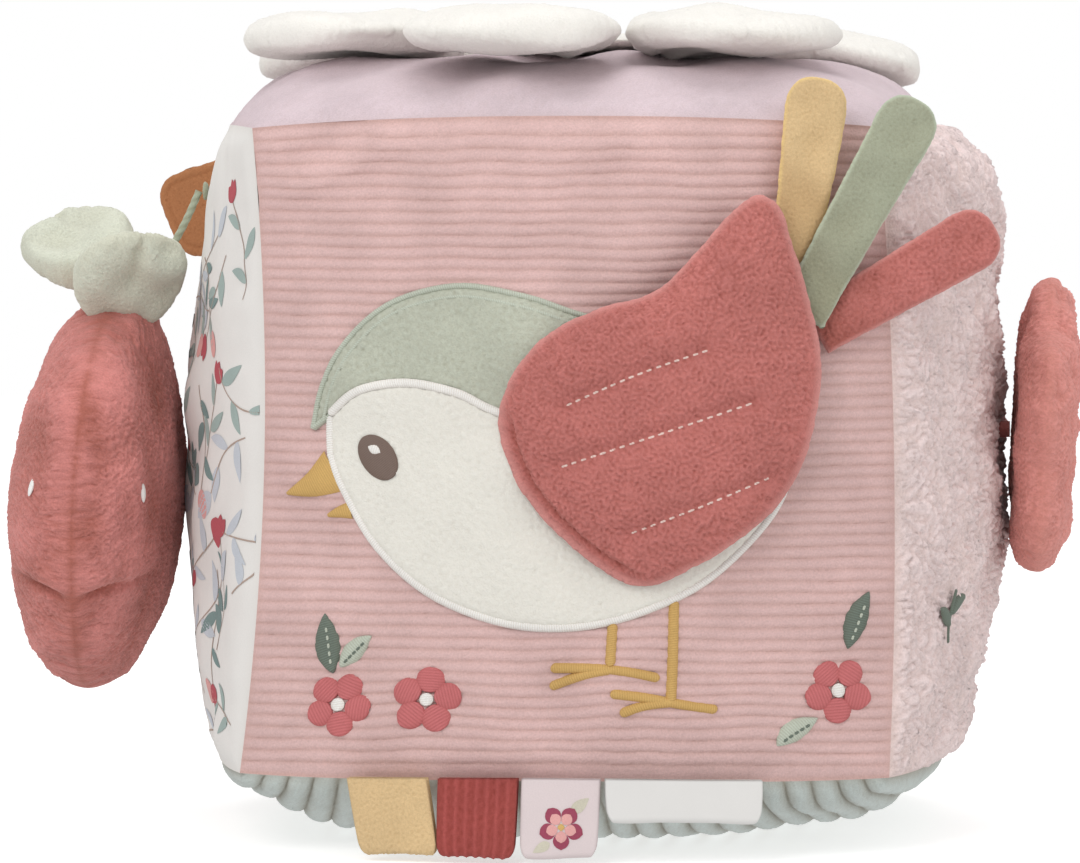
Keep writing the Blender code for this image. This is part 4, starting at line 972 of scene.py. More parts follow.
def pad(name, outline, middle, place, puffs, look, body, nodes, spacing=1.6 * MM,
        relief=fine_pile_and_shade, pressure=3.0, shape=None, divide=1, seam=0.25,
        rim_width=0.0):
    """A stuffed pad: two sides sewn together at the rim, with shade painted along the seam."""
    flat, faces, rim = filled(outline, spacing)
    reach = rim_share(flat, flat[:rim], np.asarray(middle, float))
    gap = line_distance(flat, flat[:rim], True)
    full = shape(reach, gap) if shape else np.sqrt(np.clip(1 - reach ** 2, 0, 1))
    full[:rim] = 0
    front = np.column_stack((flat, puffs[0] * full))
    back = np.column_stack((flat, -puffs[1] * full))[rim:]
    far = np.where(faces < rim, faces, faces + len(flat) - rim)[:, ::-1]
    points, faces = np.vstack((front, back)), np.vstack((faces, far))
    if pressure:
        points = settled(points, faces, pressure)
    mesh = bpy.data.meshes.new(name)
    mesh.from_pydata(points.tolist(), [], faces.tolist())
    store(mesh, "gap", np.concatenate((gap, gap[rim:])))
    rough = bpy.data.objects.new(name + "_rough", mesh)
    scene.collection.objects.link(rough)
    rough.modifiers.new("smooth", "SUBSURF").levels = divide
    fine = bpy.data.meshes.new_from_object(
        rough.evaluated_get(bpy.context.evaluated_depsgraph_get()))
    bpy.data.objects.remove(rough)
    count = len(fine.vertices)
    local, gap = np.empty(count * 3), np.empty(count)
    fine.vertices.foreach_get("co", local)
    fine.attributes["gap"].data.foreach_get("value", gap)
    x, y, h = local.reshape(-1, 3).T
    placed = place(x, y, h)
    fine.vertices.foreach_set("co", placed.ravel())
    fine.update()
    normal = np.empty(count * 3)
    fine.vertex_normals.foreach_get("vector", normal)
    lift, shade_and_tone = relief(x, y, h, gap)
    near = np.exp(-(gap / GRIP) ** 2)
    placed = placed + normal.reshape(-1, 3) * ((lift - 0.25 * MM) * (1 - near))[:, None]
    fine.vertices.foreach_set("co", placed.ravel())
    fine.update()
    fine.shade_smooth()
    # Painted shade along the rim seam, as deep as the seam share asks
    store(fine, "shade_and_tone", np.clip(shade_and_tone, 0, 1) * (1 - seam * near))
    store(fine, "rim", np.clip(1.3 - gap / rim_width, 0, 1) if rim_width else 0 * gap)
    fine.materials.clear()
    fine.materials.append(LOOKS[look])
    thing = bpy.data.objects.new(name, fine)
    scene.collection.objects.link(thing)
    carry(thing, body)
    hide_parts(*nodes)
    return thing


# Spots to each side whose normals are averaged where a stitch stands on a pad
NEIGHBOURS = 30


def over(thing, frame_place, side):
    """Places pattern points on one side of a finished pad."""
    mesh = thing.data
    tree = BVHTree.FromPolygons([v.co[:] for v in mesh.vertices],
                                [p.vertices[:] for p in mesh.polygons])

    def place(x, y, lift):
        low = frame_place(x, y, 0 * x)
        high = frame_place(x, y, 0 * x + side * 60 * MM)
        spots, normals = low.copy(), np.zeros_like(low)
        for k, (a, b) in enumerate(zip(low, high)):
            hit, normal, _, _ = tree.ray_cast(Vector(b), Vector(a - b).normalized())
            if hit is not None:
                spots[k], normals[k] = hit, normal
        even = np.ones(2 * NEIGHBOURS + 1) / (2 * NEIGHBOURS + 1)
        normals = np.stack([np.convolve(np.pad(column, NEIGHBOURS, "edge"), even, "valid")
                            for column in normals.T], -1)
        normals /= np.maximum(np.linalg.norm(normals, axis=1, keepdims=True), 1e-9)
        return spots + normals * np.broadcast_to(lift, len(low))[:, None]

    return place


# Wing

WING_BOX = (-17, -30.4, 75.4, 90)
WING_RISE, WING_RISE_SHARE = 8 * MM, 0.7
WING_RUN = ((0.842, 1), (0.902, 0.967), (0.932, 0.89), (0.968, 0.768), (1, 0.617),
            (0.995, 0.5), (0.955, 0.356), (0.896, 0.25), (0.796, 0.155), (0.623, 0.055),
            (0.438, 0), (0.256, 0.082), (0.092, 0.22), (0.016, 0.346), (0, 0.446),
            (0.05, 0.556), (0.145, 0.65), (0.296, 0.727), (0.462, 0.79), (0.623, 0.882),
            (0.756, 0.967))
QUILTING = (((0.215, 0.467), (0.44, 0.548), (0.66, 0.61)),
            ((0.197, 0.31), (0.5, 0.395), (0.79, 0.475)),
            ((0.412, 0.141), (0.64, 0.215), (0.838, 0.285)))


hem_start, hem_end = boxed(WING_BOX, ((0, 0.446), (0.438, 0)))
hem_way = unit(hem_end - hem_start)
hem_away = np.array((-hem_way[1], hem_way[0]))
wing_outline = smooth_loop(boxed(WING_BOX, WING_RUN), 6)
wing_reach = ((wing_outline - hem_start) @ hem_away).max()
quilt_lines = [smooth_run(boxed(WING_BOX, line), 10) for line in QUILTING]


def wing_place(x, z, height):
    """Place over the bird: the wing stands off more towards its free end."""
    x, z, height = np.broadcast_arrays(x, z, height)
    off = (x - hem_start[0]) * hem_away[0] + (z - hem_start[1]) * hem_away[1]
    out = 3 * CLEARANCE + 1 * MM + WING_RISE * (
        np.maximum(off, 0) / wing_reach) ** WING_RISE_SHARE
    points = cube_face("front", 1.0, x / HALF_WIDTH, z / HALF_HEIGHT)
    return points - (out + height)[..., None] * (0, 1, 0)


# Quilting dents and the hem crease of the wing, with shade painted into the dents and the crease
def wing_relief(x, z, h, gap):
    lift, shade_and_tone = worm_pile_and_shade(x, z, h, gap)
    spots = np.stack((x, z), -1)
    front = np.clip(h / (1 * MM), 0, 1)
    for line in quilt_lines:
        away = line_distance(spots, line)
        lift = lift - 1.6 * MM * np.exp(-(away / (2.6 * MM)) ** 2) * front
        shade_and_tone = shade_and_tone - 0.1 * np.exp(-(away / (0.9 * MM)) ** 2) * front
    off = (spots - hem_start) @ hem_away
    hem = np.clip(1 - off / (2.5 * MM), 0, 1) * front
    crease = np.exp(-((gap - 3.4 * MM) / (0.8 * MM)) ** 2) * hem
    flat = np.exp(-(gap / (3.6 * MM)) ** 4) * hem
    return lift - (1.1 * crease + 0.9 * flat) * MM, shade_and_tone - 0.4 * crease


def wing_shape(reach, gap):
    return rounded(gap / (15 * MM))


hinge_spot = JOINTS["wing_lift"][0]
hinge_away = np.array((hem_away[0], 0, hem_away[1]))
wing_body = ("block", "wing", hinge_spot - 0.5 * MM * hinge_away,
             hinge_spot + 3 * MM * hinge_away)
wing = pad("wing_look", wing_outline, boxed(WING_BOX, (0.55, 0.45)), wing_place,
           (6.5 * MM, 1.5 * MM), "rose", wing_body,
           ("wing_front_cover", "wing_back_cover", "wing_wadding"), relief=wing_relief,
           shape=wing_shape, divide=2, rim_width=1.6 * MM)

on_wing = over(wing, wing_place, 1)
wing_stitches = []
for line in quilt_lines:
    spots, along = evenly(line, 0.2 * MM)
    pitch = along[-1] / round(along[-1] / (2.3 * MM))
    for k in range(int(round(along[-1] / pitch))):
        wanted = (along >= (k + 0.15) * pitch) & (along <= (k + 0.85) * pitch)
        wing_stitches.append((spots[wanted], 0.33 * MM))
stitched("wing_quilting", "pink_thread", wing_stitches, place=on_wing, body=wing_body,
         bulge=0.45 * MM, low=-0.1 * MM, pitch=0.7 * MM)


# Tail feathers

tail_turn = (Matrix.Rotation(math.radians(13), 3, "Z")
             @ Matrix.Rotation(math.radians(90 - 3), 3, "X"))


def feather(name, look, angle, width, length, root, sink, nodes):
    """A ribbon from under the wing to its round end."""
    spot = JOINTS[name + "_flex"][0]
    axes = np.array(tail_turn @ Matrix.Rotation(-math.radians(angle), 3, "Z")).T
    half = width / 2
    outline = [(half, -root), *round_end(half, length - half, half, 0.85, 0.85, 15),
               (-half, -root)]
    outline = np.array(evenly(np.array(outline) * MM, 0.6 * MM, closed=True)[0])
    outline[:, 0] *= 0.84 + 0.16 * np.clip((outline[:, 1] / MM + 8) / length, 0, 1)
    flat_place = plane(spot, *axes)

    def place(x, y, height):
        behind = np.clip(-y / (root * MM), 0, 1)
        wave = 0.35 * MM * np.sin(y / (9 * MM) + angle) + 0.3 * MM * RUMPLE.at(x, y + spot[0])
        return flat_place(x, y, height - 1.0 * MM - sink * MM * behind ** 0.8 + wave)

    def shape(reach, gap):
        edge = 0.3 if look == "sage_ribbon" else 0.0
        return rounded(gap / (4 * MM)) + edge * np.exp(-((gap - 0.9 * MM) / (0.5 * MM)) ** 2)

    def relief(x, y, h, gap):
        lift, shade_and_tone = worm_pile_and_shade(x, y, h, gap) if look == "rose" else fine_pile_and_shade(x, y, h, gap)
        # Painted shade: darker towards the root, under the wing, and in the dips of the rumples
        shade = np.clip((y + 8 * MM) / (0.6 * length * MM), 0, 1)
        rumple = RUMPLE.at(2.4 * x + spot[0], 2.4 * y)
        return (lift + (0.25 + 0.35 * rumple) * MM,
                shade_and_tone * (0.3 + 0.7 * shade ** 0.8) + 0.07 * rumple)

    thing = pad(name + "_look", outline, (0, (length - root) / 2 * MM), place,
                (1.3 * MM, 0.75 * MM), look,
                ("block", name, spot - 2 * MM * axes[1], spot + 3 * MM * axes[1]), nodes,
                spacing=0.9 * MM, relief=relief, pressure=0, shape=shape,
                rim_width=0.8 * MM)


feather("mustard_feather", "mustard", 9, 14.8, 21.5, 34, 1.6, ["mustard_feather"])
feather("rose_feather", "rose", 60.5, 14.8, 37.5, 11, 1.4, ["rose_feather", "tail_root"])
feather("sage_feather", "sage_ribbon", 29.5, 14.5, 39, 18, 0.6, ["sage_feather"])


# Top flower

PETAL_LENGTH, PETAL_WIDTH, PETAL_PUFF, PETAL_TAPER = 53 * MM, 51 * MM, 5 * MM, 0.16
petal_turns = circle(60)
petal_outline = np.stack((
    PETAL_LENGTH / 2 * (1 + np.cos(petal_turns)),
    PETAL_WIDTH / 2 * np.sin(petal_turns) * (1 + PETAL_TAPER * np.cos(petal_turns))), -1)


def petal_shape(reach, gap):
    return np.clip(1 - reach ** 6, 0, 1) ** 0.5


def petal_relief(seed):
    def relief(x, y, h, gap):
        lift, shade_and_tone = fine_pile_and_shade(x, y + seed * 13 * MM, h, gap)
        turn = np.arctan2(y, x + 6 * MM)
        pleat = np.cos(turn * 13 + seed) + 0.6 * np.cos(turn * 22 + 2.3 * seed)
        fade = np.exp(-x / (15 * MM))
        rumple = RUMPLE.at(x + seed * 31 * MM, y + h)
        # Shade painted into the dips of the pleats near the root
        return lift + (0.9 * pleat * fade + 0.5 * rumple) * MM, shade_and_tone - 0.12 * fade * (1 - pleat)

    return relief


# How far each petal's end hangs, in millimetres
PETAL_DROPS = (4, 6, 6, 4, 4, 6, 5)


def drooping(place, drop):
    """The same place with its far end hanging a little."""
    return lambda x, y, h: place(x, y, h - drop * MM * (x / PETAL_LENGTH) ** 2)


for k in range(7):
    name = f"petal_{k + 1}"
    spot, axis = JOINTS[name + "_flex"]
    x_way = way_out(name, spot)
    place = drooping(plane(spot - (2.5 * MM, 0, 0), x_way, -axis, np.cross(x_way, -axis)),
                     PETAL_DROPS[k])
    pad(name + "_look", petal_outline, (PETAL_LENGTH * 0.52, 0), place,
        (1.16 * PETAL_PUFF, 1.1 * PETAL_PUFF), "cream", name, (name,), spacing=1.5 * MM,
        relief=petal_relief(k + 1), shape=petal_shape, pressure=4.0, seam=0.3)

rim_height = JOINTS["petal_1_flex"][0][2]
heart_radius = 32 * MM - CLEARANCE
heart_turns = circle(72)
heart_outline = heart_radius * np.stack((np.cos(heart_turns), np.sin(heart_turns)), -1)
heart_drop = rim_height - float(stuffed(0.0, 0.0, 1.0)[2]) - CLEARANCE
pad("flower_centre_look", heart_outline, (0, 0),
    plane((0, 0, rim_height), (1, 0, 0), (0, 1, 0), (0, 0, 1)),
    (3 * MM, max(heart_drop, CLEARANCE)), "cream", "block", ("flower_centre",),
    pressure=0, spacing=2 * MM)


# Strawberry

berry_turns = circle(90)
berry_outline = np.stack((
    BERRY_WIDTH / 2 * np.sin(berry_turns) * (1 + 0.16 * np.cos(berry_turns)),
    BERRY_HEIGHT / 2 * np.cos(berry_turns)), -1)


FOLD_HEIGHT = -21 * MM


def berry_relief(x, y, h, gap):
    """Soft plush, gathered along its front seam, with a fold like a smile across it; shade is
    painted into the fold and the seam, and the gathers and rumples are painted lighter on top
    and darker in their dips.
    """
    lift, shade_and_tone = worm_pile_and_shade(x, y, h, gap)
    ahead = np.clip(x / (14 * MM), 0, 1)
    across = h / MM
    centred = ahead * np.exp(-(across / 15) ** 4)
    over_fold = (y - FOLD_HEIGHT) / MM - 0.36 * (np.sqrt(across ** 2 + 9) - 3)
    fold = np.exp(-(over_fold / 1.3) ** 2) * centred
    brow = np.exp(-((over_fold - 4) / 3.5) ** 2) - 0.9 * np.exp(-((over_fold + 4) / 4) ** 2)
    seam = np.exp(-(across / 0.9) ** 2) * ahead
    gather = CRUMB.at(0.12 * across * MM, 0.45 * y) * np.exp(-abs(across) / 4) * ahead
    rumple = RUMPLE.at(x + 2 * h, y)
    crease = CREASE.at(0.6 * x + h, 0.5 * y)
    height = (0.4 * rumple + 0.15 * crease + 1.2 * brow * centred - 2.6 * fold - 1.5 * seam
              + 0.5 * gather)
    return (lift + height * MM, shade_and_tone - 0.65 * fold - 0.65 * seam + 0.22 * gather
            + 0.15 * rumple + 0.12 * crease)


berry = pad("strawberry_look", berry_outline, (0, 0), berry_place, BERRY_PUFFS, "minky",
            "strawberry",
            ("strawberry_outer_cover", "strawberry_inner_cover", "strawberry_wadding"),
            relief=berry_relief, spacing=1.8 * MM, pressure=5.0, divide=2,
            shape=lambda reach, gap: np.clip(1 - reach ** 2.2, 0, 1) ** 0.5)
SEED_SPOTS = ((-14, 2), (-30, 14), (-26, -20))
SEED_RINGS = np.linspace(0, math.pi, 13)[:, None]
SEED_TURNS = circle(12)[None, :]
for side, label, first in ((1, "outer", (37.3, 5.7)), (-1, "inner", (30, 4.1))):
    on_side = over(berry, berry_place, side)
    points, faces = [], []
    for k, (x, y) in enumerate((first, *SEED_SPOTS)):
        near = np.linspace(-1.2, 1.2, 5)
        beside, above = (item.ravel() * MM for item in np.meshgrid(x + near, y + near))
        ground = on_side(beside, above, 0.0)
        out = (on_side(beside, above, 1.0) - ground).mean(axis=0)
        out = unit(out)
        up = unit(np.array((0, 0, 1)) - out * out[2])
        seed = plane(ground.mean(axis=0), np.cross(out, up), up, out)
        grain = seed(0.95 * MM * np.sin(SEED_RINGS) ** 1.3 * np.cos(SEED_TURNS),
                     2.3 * MM * np.cos(SEED_RINGS),
                     (0.25 + 0.5 * np.sin(SEED_RINGS) * np.sin(SEED_TURNS)) * MM)
        points.append(grain.reshape(-1, 3))
        faces.append(grid_faces(13, 12, around=True)[:, ::-1] + k * len(points[0]))
    make(f"strawberry_{label}_seeds", np.vstack(points), np.vstack(faces), "white_thread",
         "strawberry")

spot = cord_start + (CORD_RADIUS + CLEARANCE, 0, 0)
knot_turns = circle(24)
knot_outline = np.stack((2.4 * np.cos(knot_turns), 2.0 * np.sin(knot_turns)), -1) * MM
pad("cord_end_look", knot_outline, (0, 0), plane(spot, (0, 0, 1), (0, 1, 0), (-1, 0, 0)),
    (0.6 * MM, 1.2 * MM), "cord", "cord_knot", ("cord_end",), spacing=0.5 * MM, pressure=0)

LEAF_LENGTH, LEAF_WIDTH, LEAF_THICK = 30 * MM, 28 * MM, 10 * MM
leaf_turns = circle(50)
far, wide = (np.sign(turn) * abs(turn) ** 0.9
             for turn in (np.cos(leaf_turns), np.sin(leaf_turns)))
leaf_outline = np.stack((LEAF_LENGTH / 2 * (1 + far),
                         LEAF_WIDTH / 2 * wide * (1 + 0.1 * far)), -1)


# Crown leaf relief, with shade painted into its middle vein groove and the dips of its rumples
def leaf_relief(x, y, h, gap):
    lift, shade_and_tone = fine_pile_and_shade(x, y, h, gap)
    vein = np.exp(-(y / (1.8 * MM)) ** 2) * np.clip((x - 14 * MM) / (12 * MM), 0, 1)
    pleat = np.cos(np.arctan2(y, x + 5 * MM) * 11) * np.exp(-x / (10 * MM))
    rumple = RUMPLE.at(2 * x, 2 * y + h)
    return (lift + (0.5 * pleat - 2.0 * vein + 0.8 * rumple) * MM,
            shade_and_tone - 0.2 * vein + 0.08 * rumple)


for name, way_round, lean, roll, lift in (("back", 130, 26, -24, 12.5),
                                          ("front", 295, 46, 0, 1)):
    slope = math.radians(lean)
    inner = np.linspace(0, 1, 30)
    sag = (LEAF_THICK / 2 * np.sqrt(1 - inner ** 2) * math.cos(slope)
           - LEAF_LENGTH / 2 * (1 - inner) * math.sin(slope)).max()
    turn = Matrix.Rotation(math.radians(way_round), 3, "Z")
    root = np.array(turn @ Vector((2.8 * MM, 0, CLEARANCE + sag + (lift - 1.1) * MM)))
    root = root + (BERRY_TILT * BERRY_HEIGHT / 2, 0, 0)
    axes = np.array(turn @ Matrix.Rotation(-slope, 3, "Y")
                    @ Matrix.Rotation(math.radians(roll), 3, "X")).T
    pad(f"crown_leaf_{name}_look", leaf_outline, (LEAF_LENGTH / 2, 0),
        plane(berry_top + root, *axes), (LEAF_THICK / 2, LEAF_THICK / 2), "leaf_plush",
        "strawberry", (f"crown_leaf_{name}",), spacing=1.2 * MM, relief=leaf_relief,
        pressure=4.0, shape=petal_shape, seam=0.3)


# Plush flower on the right

PLUSH_RADIUS, PLUSH_LOBE, PLUSH_PUFF, LOBES = 37.5 * MM, 5 * MM, 7.5 * MM, 5
lobe_turns = circle(160)
lobe_radius = PLUSH_RADIUS - PLUSH_LOBE * abs(np.sin(LOBES * lobe_turns / 2)) ** 3
plush_outline = lobe_radius[:, None] * np.stack((np.sin(lobe_turns), np.cos(lobe_turns)), -1)
plush_seat = JOINTS["plush_flower_nod"][0]
tilt = np.array(Matrix.Rotation(math.radians(3), 3, "Y")).T
plush_place = plane(plush_seat + PLUSH_PUFF * tilt[0], tilt[1], tilt[2], tilt[0])


# Plush flower relief, with shade painted into its button dent and the dips of its rumples
def plush_relief(x, y, h, gap):
    lift, shade_and_tone = worm_pile_and_shade(x, y, h, gap)
    out = np.hypot(x, y)
    button = np.exp(-(out / (5 * MM)) ** 2)
    rumple = RUMPLE.at(1.5 * x, 1.5 * y + 2 * h) + 0.8 * CREASE.at(x + h, y - h) * (h > 0)
    return lift + (0.5 * rumple - 3.2 * button) * MM, shade_and_tone - 0.2 * button + 0.06 * rumple


pad("plush_flower_look", plush_outline, (0, 0), plush_place, (PLUSH_PUFF, PLUSH_PUFF),
    "rose_pale", "plush_flower",
    ("flower_outer_cover", "flower_inner_cover", "flower_wadding"),
    relief=plush_relief, spacing=1.7 * MM, pressure=4.0,
    shape=petal_shape, divide=2)
stem_base = JOINTS["plush_flower_twist"][0]
stem_line = np.linspace(0, 2.7 * MM, 12)[:, None, None] * np.array((1, 0, 0))
stem_turns = circle(20)[None, :]
stem_radius = 2 * MM * (1 + 0.06 * np.cos(stem_turns * 6))
stem = stem_base + stem_line + stem_radius[..., None] * np.stack(
    (0 * stem_turns, np.cos(stem_turns), np.sin(stem_turns)), -1)
make("flower_shank_look", stem.reshape(-1, 3), grid_faces(12, 20, around=True), "rose",
     "flower_stem", node="flower_shank")


# Tabs

LOOP_HALF, LOOP_TAPER = 1.5 * MM, 0.04


def loop(name, look, width, length, relief, wall=1.0 * MM, sag=0.0, skew=0.0):
    """A ribbon folded in a loop and sewn into the lower front seam."""
    spot, axis = JOINTS[name + "_flex"]
    along = -axis
    out = unit(np.cross(along, (0, 0, 1)))
    down = unit(np.array((0, 0, -1)) + out * math.tan(math.radians(6)))
    middle = LOOP_HALF - wall / 2
    centre = length - middle - wall / 2
    legs = np.linspace(-1.6 * MM, centre, max(int(centre / (0.3 * MM)), 8))
    turns = np.linspace(0, math.pi, 12)[1:-1]
    side = np.concatenate((np.full(len(legs), middle), middle * np.cos(turns),
                           np.full(len(legs), -middle)))
    drop = np.concatenate((legs, centre + middle * np.sin(turns), legs[::-1]))
    way = unit(np.gradient(np.stack((side, drop), -1), axis=0))
    normal = np.stack((way[:, 1], -way[:, 0]), -1)
    count = max(int(width / (0.35 * MM)), 20)
    t = np.linspace(-1, 1, count)
    run = np.concatenate(([0], np.cumsum(np.hypot(np.diff(side), np.diff(drop)))))
    across, run_grid = np.meshgrid(t * width / 2, run)
    thick = wall / 2 * (1 - abs(t) ** 14) ** 0.5
    lift, shade_and_tone = relief(across, run_grid)
    fall = (drop / length)[:, None]
    corner = np.clip(1 - (length - drop) / (3.6 * MM), 0, 1)[:, None]
    width_share = 1 - (5 * MM / width) * (1 - np.sqrt(1 - 0.8 * corner ** 2))
    across = across * (1 - LOOP_TAPER * fall ** 2) * width_share + skew * (fall - 0.3)
    swell = sag * np.sin(math.pi * np.clip(drop / length, 0, 1))[:, None] * (1 - t[None] ** 2)
    rings = []
    for sign in (1, -1):
        off = sign * (thick[None] + (lift if sign > 0 else 0) * (thick > 0.3 * wall)[None])
        a = side[:, None] * (1 + swell / middle) + normal[:, :1] * off
        b = drop[:, None] + normal[:, 1:] * off
        b = b + 0.25 * MM * np.sin(t * 2.2 + len(name))[None] * (drop / length)[:, None]
        rings.append(spot + a[..., None] * out + b[..., None] * down + across[..., None] * along)
    rows = len(side)
    points = np.concatenate((rings[0], rings[1][:, ::-1]), axis=1)
    shades_and_tones = np.concatenate((shade_and_tone, shade_and_tone[:, ::-1]), axis=1)
    k = np.arange(count - 1)
    cap = np.stack((k, k + 1, 2 * count - 2 - k, 2 * count - 1 - k), -1)
    faces = np.vstack((grid_faces(rows, 2 * count, around=True)[:, ::-1], cap,
                       cap[:, ::-1] + (rows - 1) * 2 * count))
    thing = make(name + "_look", points.reshape(-1, 3), faces, look, name,
                 np.clip(shades_and_tones, 0, 1).ravel(), name)

    def front(x, y, lift):
        x, y, lift = np.broadcast_arrays(x, y, lift)
        bow = sag * np.sin(math.pi * np.clip(y / length, 0, 1)) * (1 - (2 * x / width) ** 2)
        spots = spot + (LOOP_HALF + bow + lift)[..., None] * out
        return spots + y[..., None] * down + x[..., None] * along

    return front


# Corduroy ribs of the tab, with shade painted between them
def tab_corduroy(x, y):
    ridge = np.cos(math.pi * x / (2.4 * MM)) ** 6
    fuzz = CRUMB.at(x, y * 0.5)
    return (0.3 * ridge - 0.1 + 0.04 * fuzz) * MM, 0.42 + 0.5 * ridge + 0.1 * fuzz


tab_plain = even_relief(CREASE, 0.02, 1, 0)
loop("mustard_tab", "mustard", 19 * MM, 16 * MM, even_relief(CRUMB, 0.08, 0.85, 0.12),
     sag=0.4 * MM, skew=3.2 * MM)
loop("corduroy_tab", "cherry", 18.5 * MM, 16.5 * MM, tab_corduroy, sag=0.4 * MM,
     skew=-0.3 * MM)
on_tab = loop("print_tab", "blush", 18 * MM, 16.5 * MM, tab_plain, sag=0.4 * MM,
              skew=-0.5 * MM)
loop("blank_label", "satin", 36 * MM, 8.4 * MM, tab_plain, wall=0.7 * MM)

spot, axis = JOINTS["side_tab_flex"]
y_way = way_out("side_tab", spot)
side_outline = np.array([*round_end(14, 32, 12, 0.5, 0.6, 31),
                         (-14, 3), (-12, 0), (12, 0), (14, 3)]) * MM
side_outline[:, 0] -= 0.22 * (side_outline[:, 1] - 20 * MM)
side_outline[:, 0] *= np.where(side_outline[:, 0] < 0, 0.72, 1)
side_outline[:, 1] *= 1 + 8 * (side_outline[:, 0] + 5 * MM)
side_outline = evenly(side_outline, 0.8 * MM, closed=True)[0]


# Side tab relief, with shade painted into its hem groove
def side_tab_relief(x, y, h, gap):
    lift, shade_and_tone = fine_pile_and_shade(x, y, h, gap)
    hem = np.exp(-((gap - 2.6 * MM) / (0.5 * MM)) ** 2)
    wave = CREASE.at(x, y) * np.exp(-y / (12 * MM))
    return lift + (0.25 * wave - 0.25 * hem) * MM, shade_and_tone - 0.3 * hem


pad("side_tab_look", side_outline, (0, 21 * MM),
    plane(spot, axis, y_way, np.cross(axis, y_way)), (1.25 * MM, 1.25 * MM), "caramel",
    "side_tab", ("side_tab",), spacing=1.1 * MM, relief=side_tab_relief, pressure=0,
    shape=lambda reach, gap: np.clip(gap / (1.4 * MM), 0, 1) ** 0.5)


# Printed sprigs and spots

def flat_shapes(name, look, runs, place, body="block", lift=0.12 * MM):
    """Flat printed shapes: lines with a half width along them."""
    points, faces, total = [], [], 0
    t = np.linspace(-1, 1, 5)[None, :]
    for line, half in runs:
        flat, along, _ = band(line, half, 0.5 * MM, t)
        flat = flat.reshape(-1, 2)
        points.append(place(flat[:, 0], flat[:, 1], np.full(len(flat), lift)))
        faces.append(grid_faces(len(along), 5)[:, ::-1] + total)
        total += len(flat)
    make(name, np.vstack(points), np.vstack(faces), look, body)


def sprigs(spots, rng, size):
    """Leafy stems drawn at the spots, each look with its lines."""
    runs = {look: [] for look in ("stem", "leaf", "pale_leaf", "deep_leaf", "bud", "pale")}
    for spot in spots:
        angle = rng.uniform(0, 360)
        length = size * rng.uniform(0.8, 1.2)
        stem = ray(spot, angle, length, length * rng.uniform(-0.2, 0.2), 14)
        runs["stem"].append((stem, 0.2 * MM))
        tone = ("leaf", "pale_leaf", "deep_leaf")[rng.integers(3)]
        for k, share in enumerate((0.2, 0.45, 0.7)):
            root = stem[int(share * 13)]
            turn = angle + (1 if k % 2 else -1) * rng.uniform(35, 60)
            leaf = size * rng.uniform(0.3, 0.44)
            runs[tone].append((ray(root, turn, leaf, 0.6 * MM),
                               leaf_width(leaf * rng.uniform(0.14, 0.2), 0.8)))
        kind = rng.random()
        if kind < 0.35:
            for turn in (-34, 0, 34):
                runs["bud"].append((ray(stem[-1], angle + turn, size * 0.24),
                                    leaf_width(size * 0.075, 1.2)))
        elif kind < 0.6:
            runs["pale"].append((ray(stem[-1], angle, size * 0.3), lobe_width(size * 0.11)))
        else:
            runs[tone].append((ray(stem[-1], angle, size * 0.45),
                               leaf_width(size * 0.11, 0.8)))
    return runs


def printed(face, seed, spacing, size):
    """The leaf and bud print of one cotton panel."""
    rng = np.random.default_rng(seed)
    spots = []
    for k, z in enumerate(np.arange(-66 * MM, 64 * MM, spacing * 0.87)):
        for x in np.arange(-66 * MM + (k % 2) * spacing / 2, 67 * MM, spacing):
            spots.append(np.array((x, z)) + rng.uniform(-0.22, 0.22, 2) * spacing)

    def place(x, y, lift):
        x, y = (np.clip(item / half, -0.98, 0.98)
                for item, half in ((x, HALF_WIDTH), (y, HALF_HEIGHT)))
        return skin(face, x, y, lift)

    for look, runs in sprigs(spots, rng, size).items():
        flat_shapes(f"{face}_print_{look}", "print_" + look, runs, place)


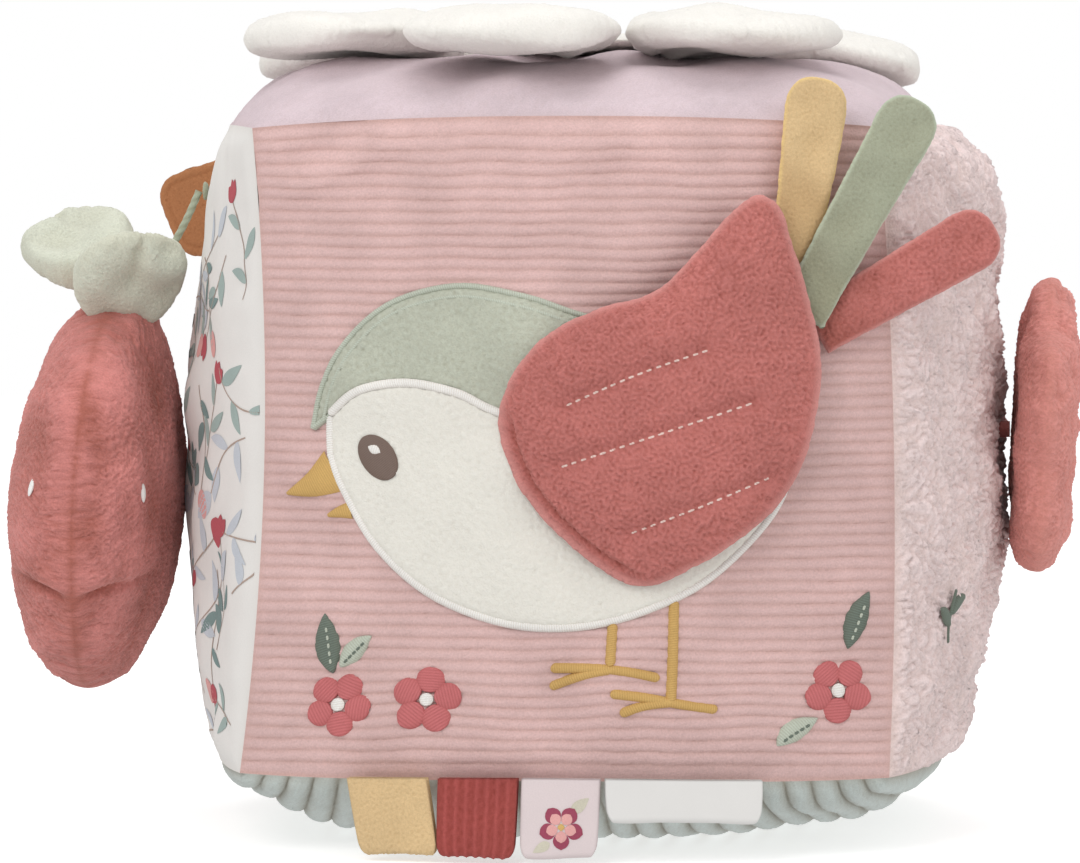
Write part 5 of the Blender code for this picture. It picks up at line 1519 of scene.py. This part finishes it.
printed("left", 11, 19 * MM, 24 * MM)
printed("back", 12, 19 * MM, 22 * MM)
tab_centre = np.array((0.4, 9.2)) * MM
for look, radius, lift in (("print_plum", 5.2, 0.1), ("print_pale", 3.6, 0.16)):
    runs = [(line, lambda share, half=0.36 * radius * MM: half * np.sin(math.pi * share) ** 0.6)
            for line, _ in blossom_runs(tab_centre, radius * MM, 90)]
    flat_shapes(f"tab_{look}", look, runs, on_tab, body="print_tab", lift=lift * MM)
flat_shapes("tab_print_heart", "mustard_thread",
            [(ray(tab_centre - (0, 0.8 * MM), 90, 1.6 * MM), lobe_width(0.8 * MM))], on_tab,
            body="print_tab", lift=0.22 * MM)
flat_shapes("tab_print_leaf", "print_olive",
            [(ray(tab_centre + (2.4 * MM, -3.4 * MM), -40, 5 * MM), leaf_width(1.3 * MM)),
             (ray(tab_centre + (-2.6 * MM, 3.6 * MM), 150, 4.4 * MM), leaf_width(1.1 * MM))],
            on_tab, body="print_tab", lift=0.06 * MM)


def on_right(y, z, lift):
    return skin("right", y / HALF_WIDTH, z / HALF_HEIGHT, lift)


sprig_root = np.array((-55, -46.5)) * MM
sprig = [(ray(sprig_root, 84, 13 * MM, 0.8 * MM), 0.5 * MM),
         (ray(sprig_root + (0, 4 * MM), 138, 7.5 * MM, -0.6 * MM), leaf_width(1.7 * MM, 0.9)),
         (ray(sprig_root + (0.4 * MM, 7 * MM), 35, 7.5 * MM, 0.6 * MM),
          leaf_width(1.7 * MM, 0.9))]
stitched("side_sprig", "leaf_thread", sprig, place=on_right, bulge=0.8 * MM,
         low=2.3 * MM)


# Inside pieces keep their CAD meshes

for node, look in (("foam_core", "foam"), ("foam_plug", "foam"), ("rattle_cup", "plastic"),
                   ("rattle_lid", "plastic"), ("rattle_bead", "plastic")):
    mesh = frame["nodes"][node].data
    mesh.materials.clear()
    mesh.materials.append(LOOKS[look])

# Each mesh's material slot in the record, looked up from its look

for thing in scene.objects:
    if thing.type == "MESH" and thing.data.materials and thing.data.materials[0]:
        slot = SLOTS.get(thing.data.materials[0].name)
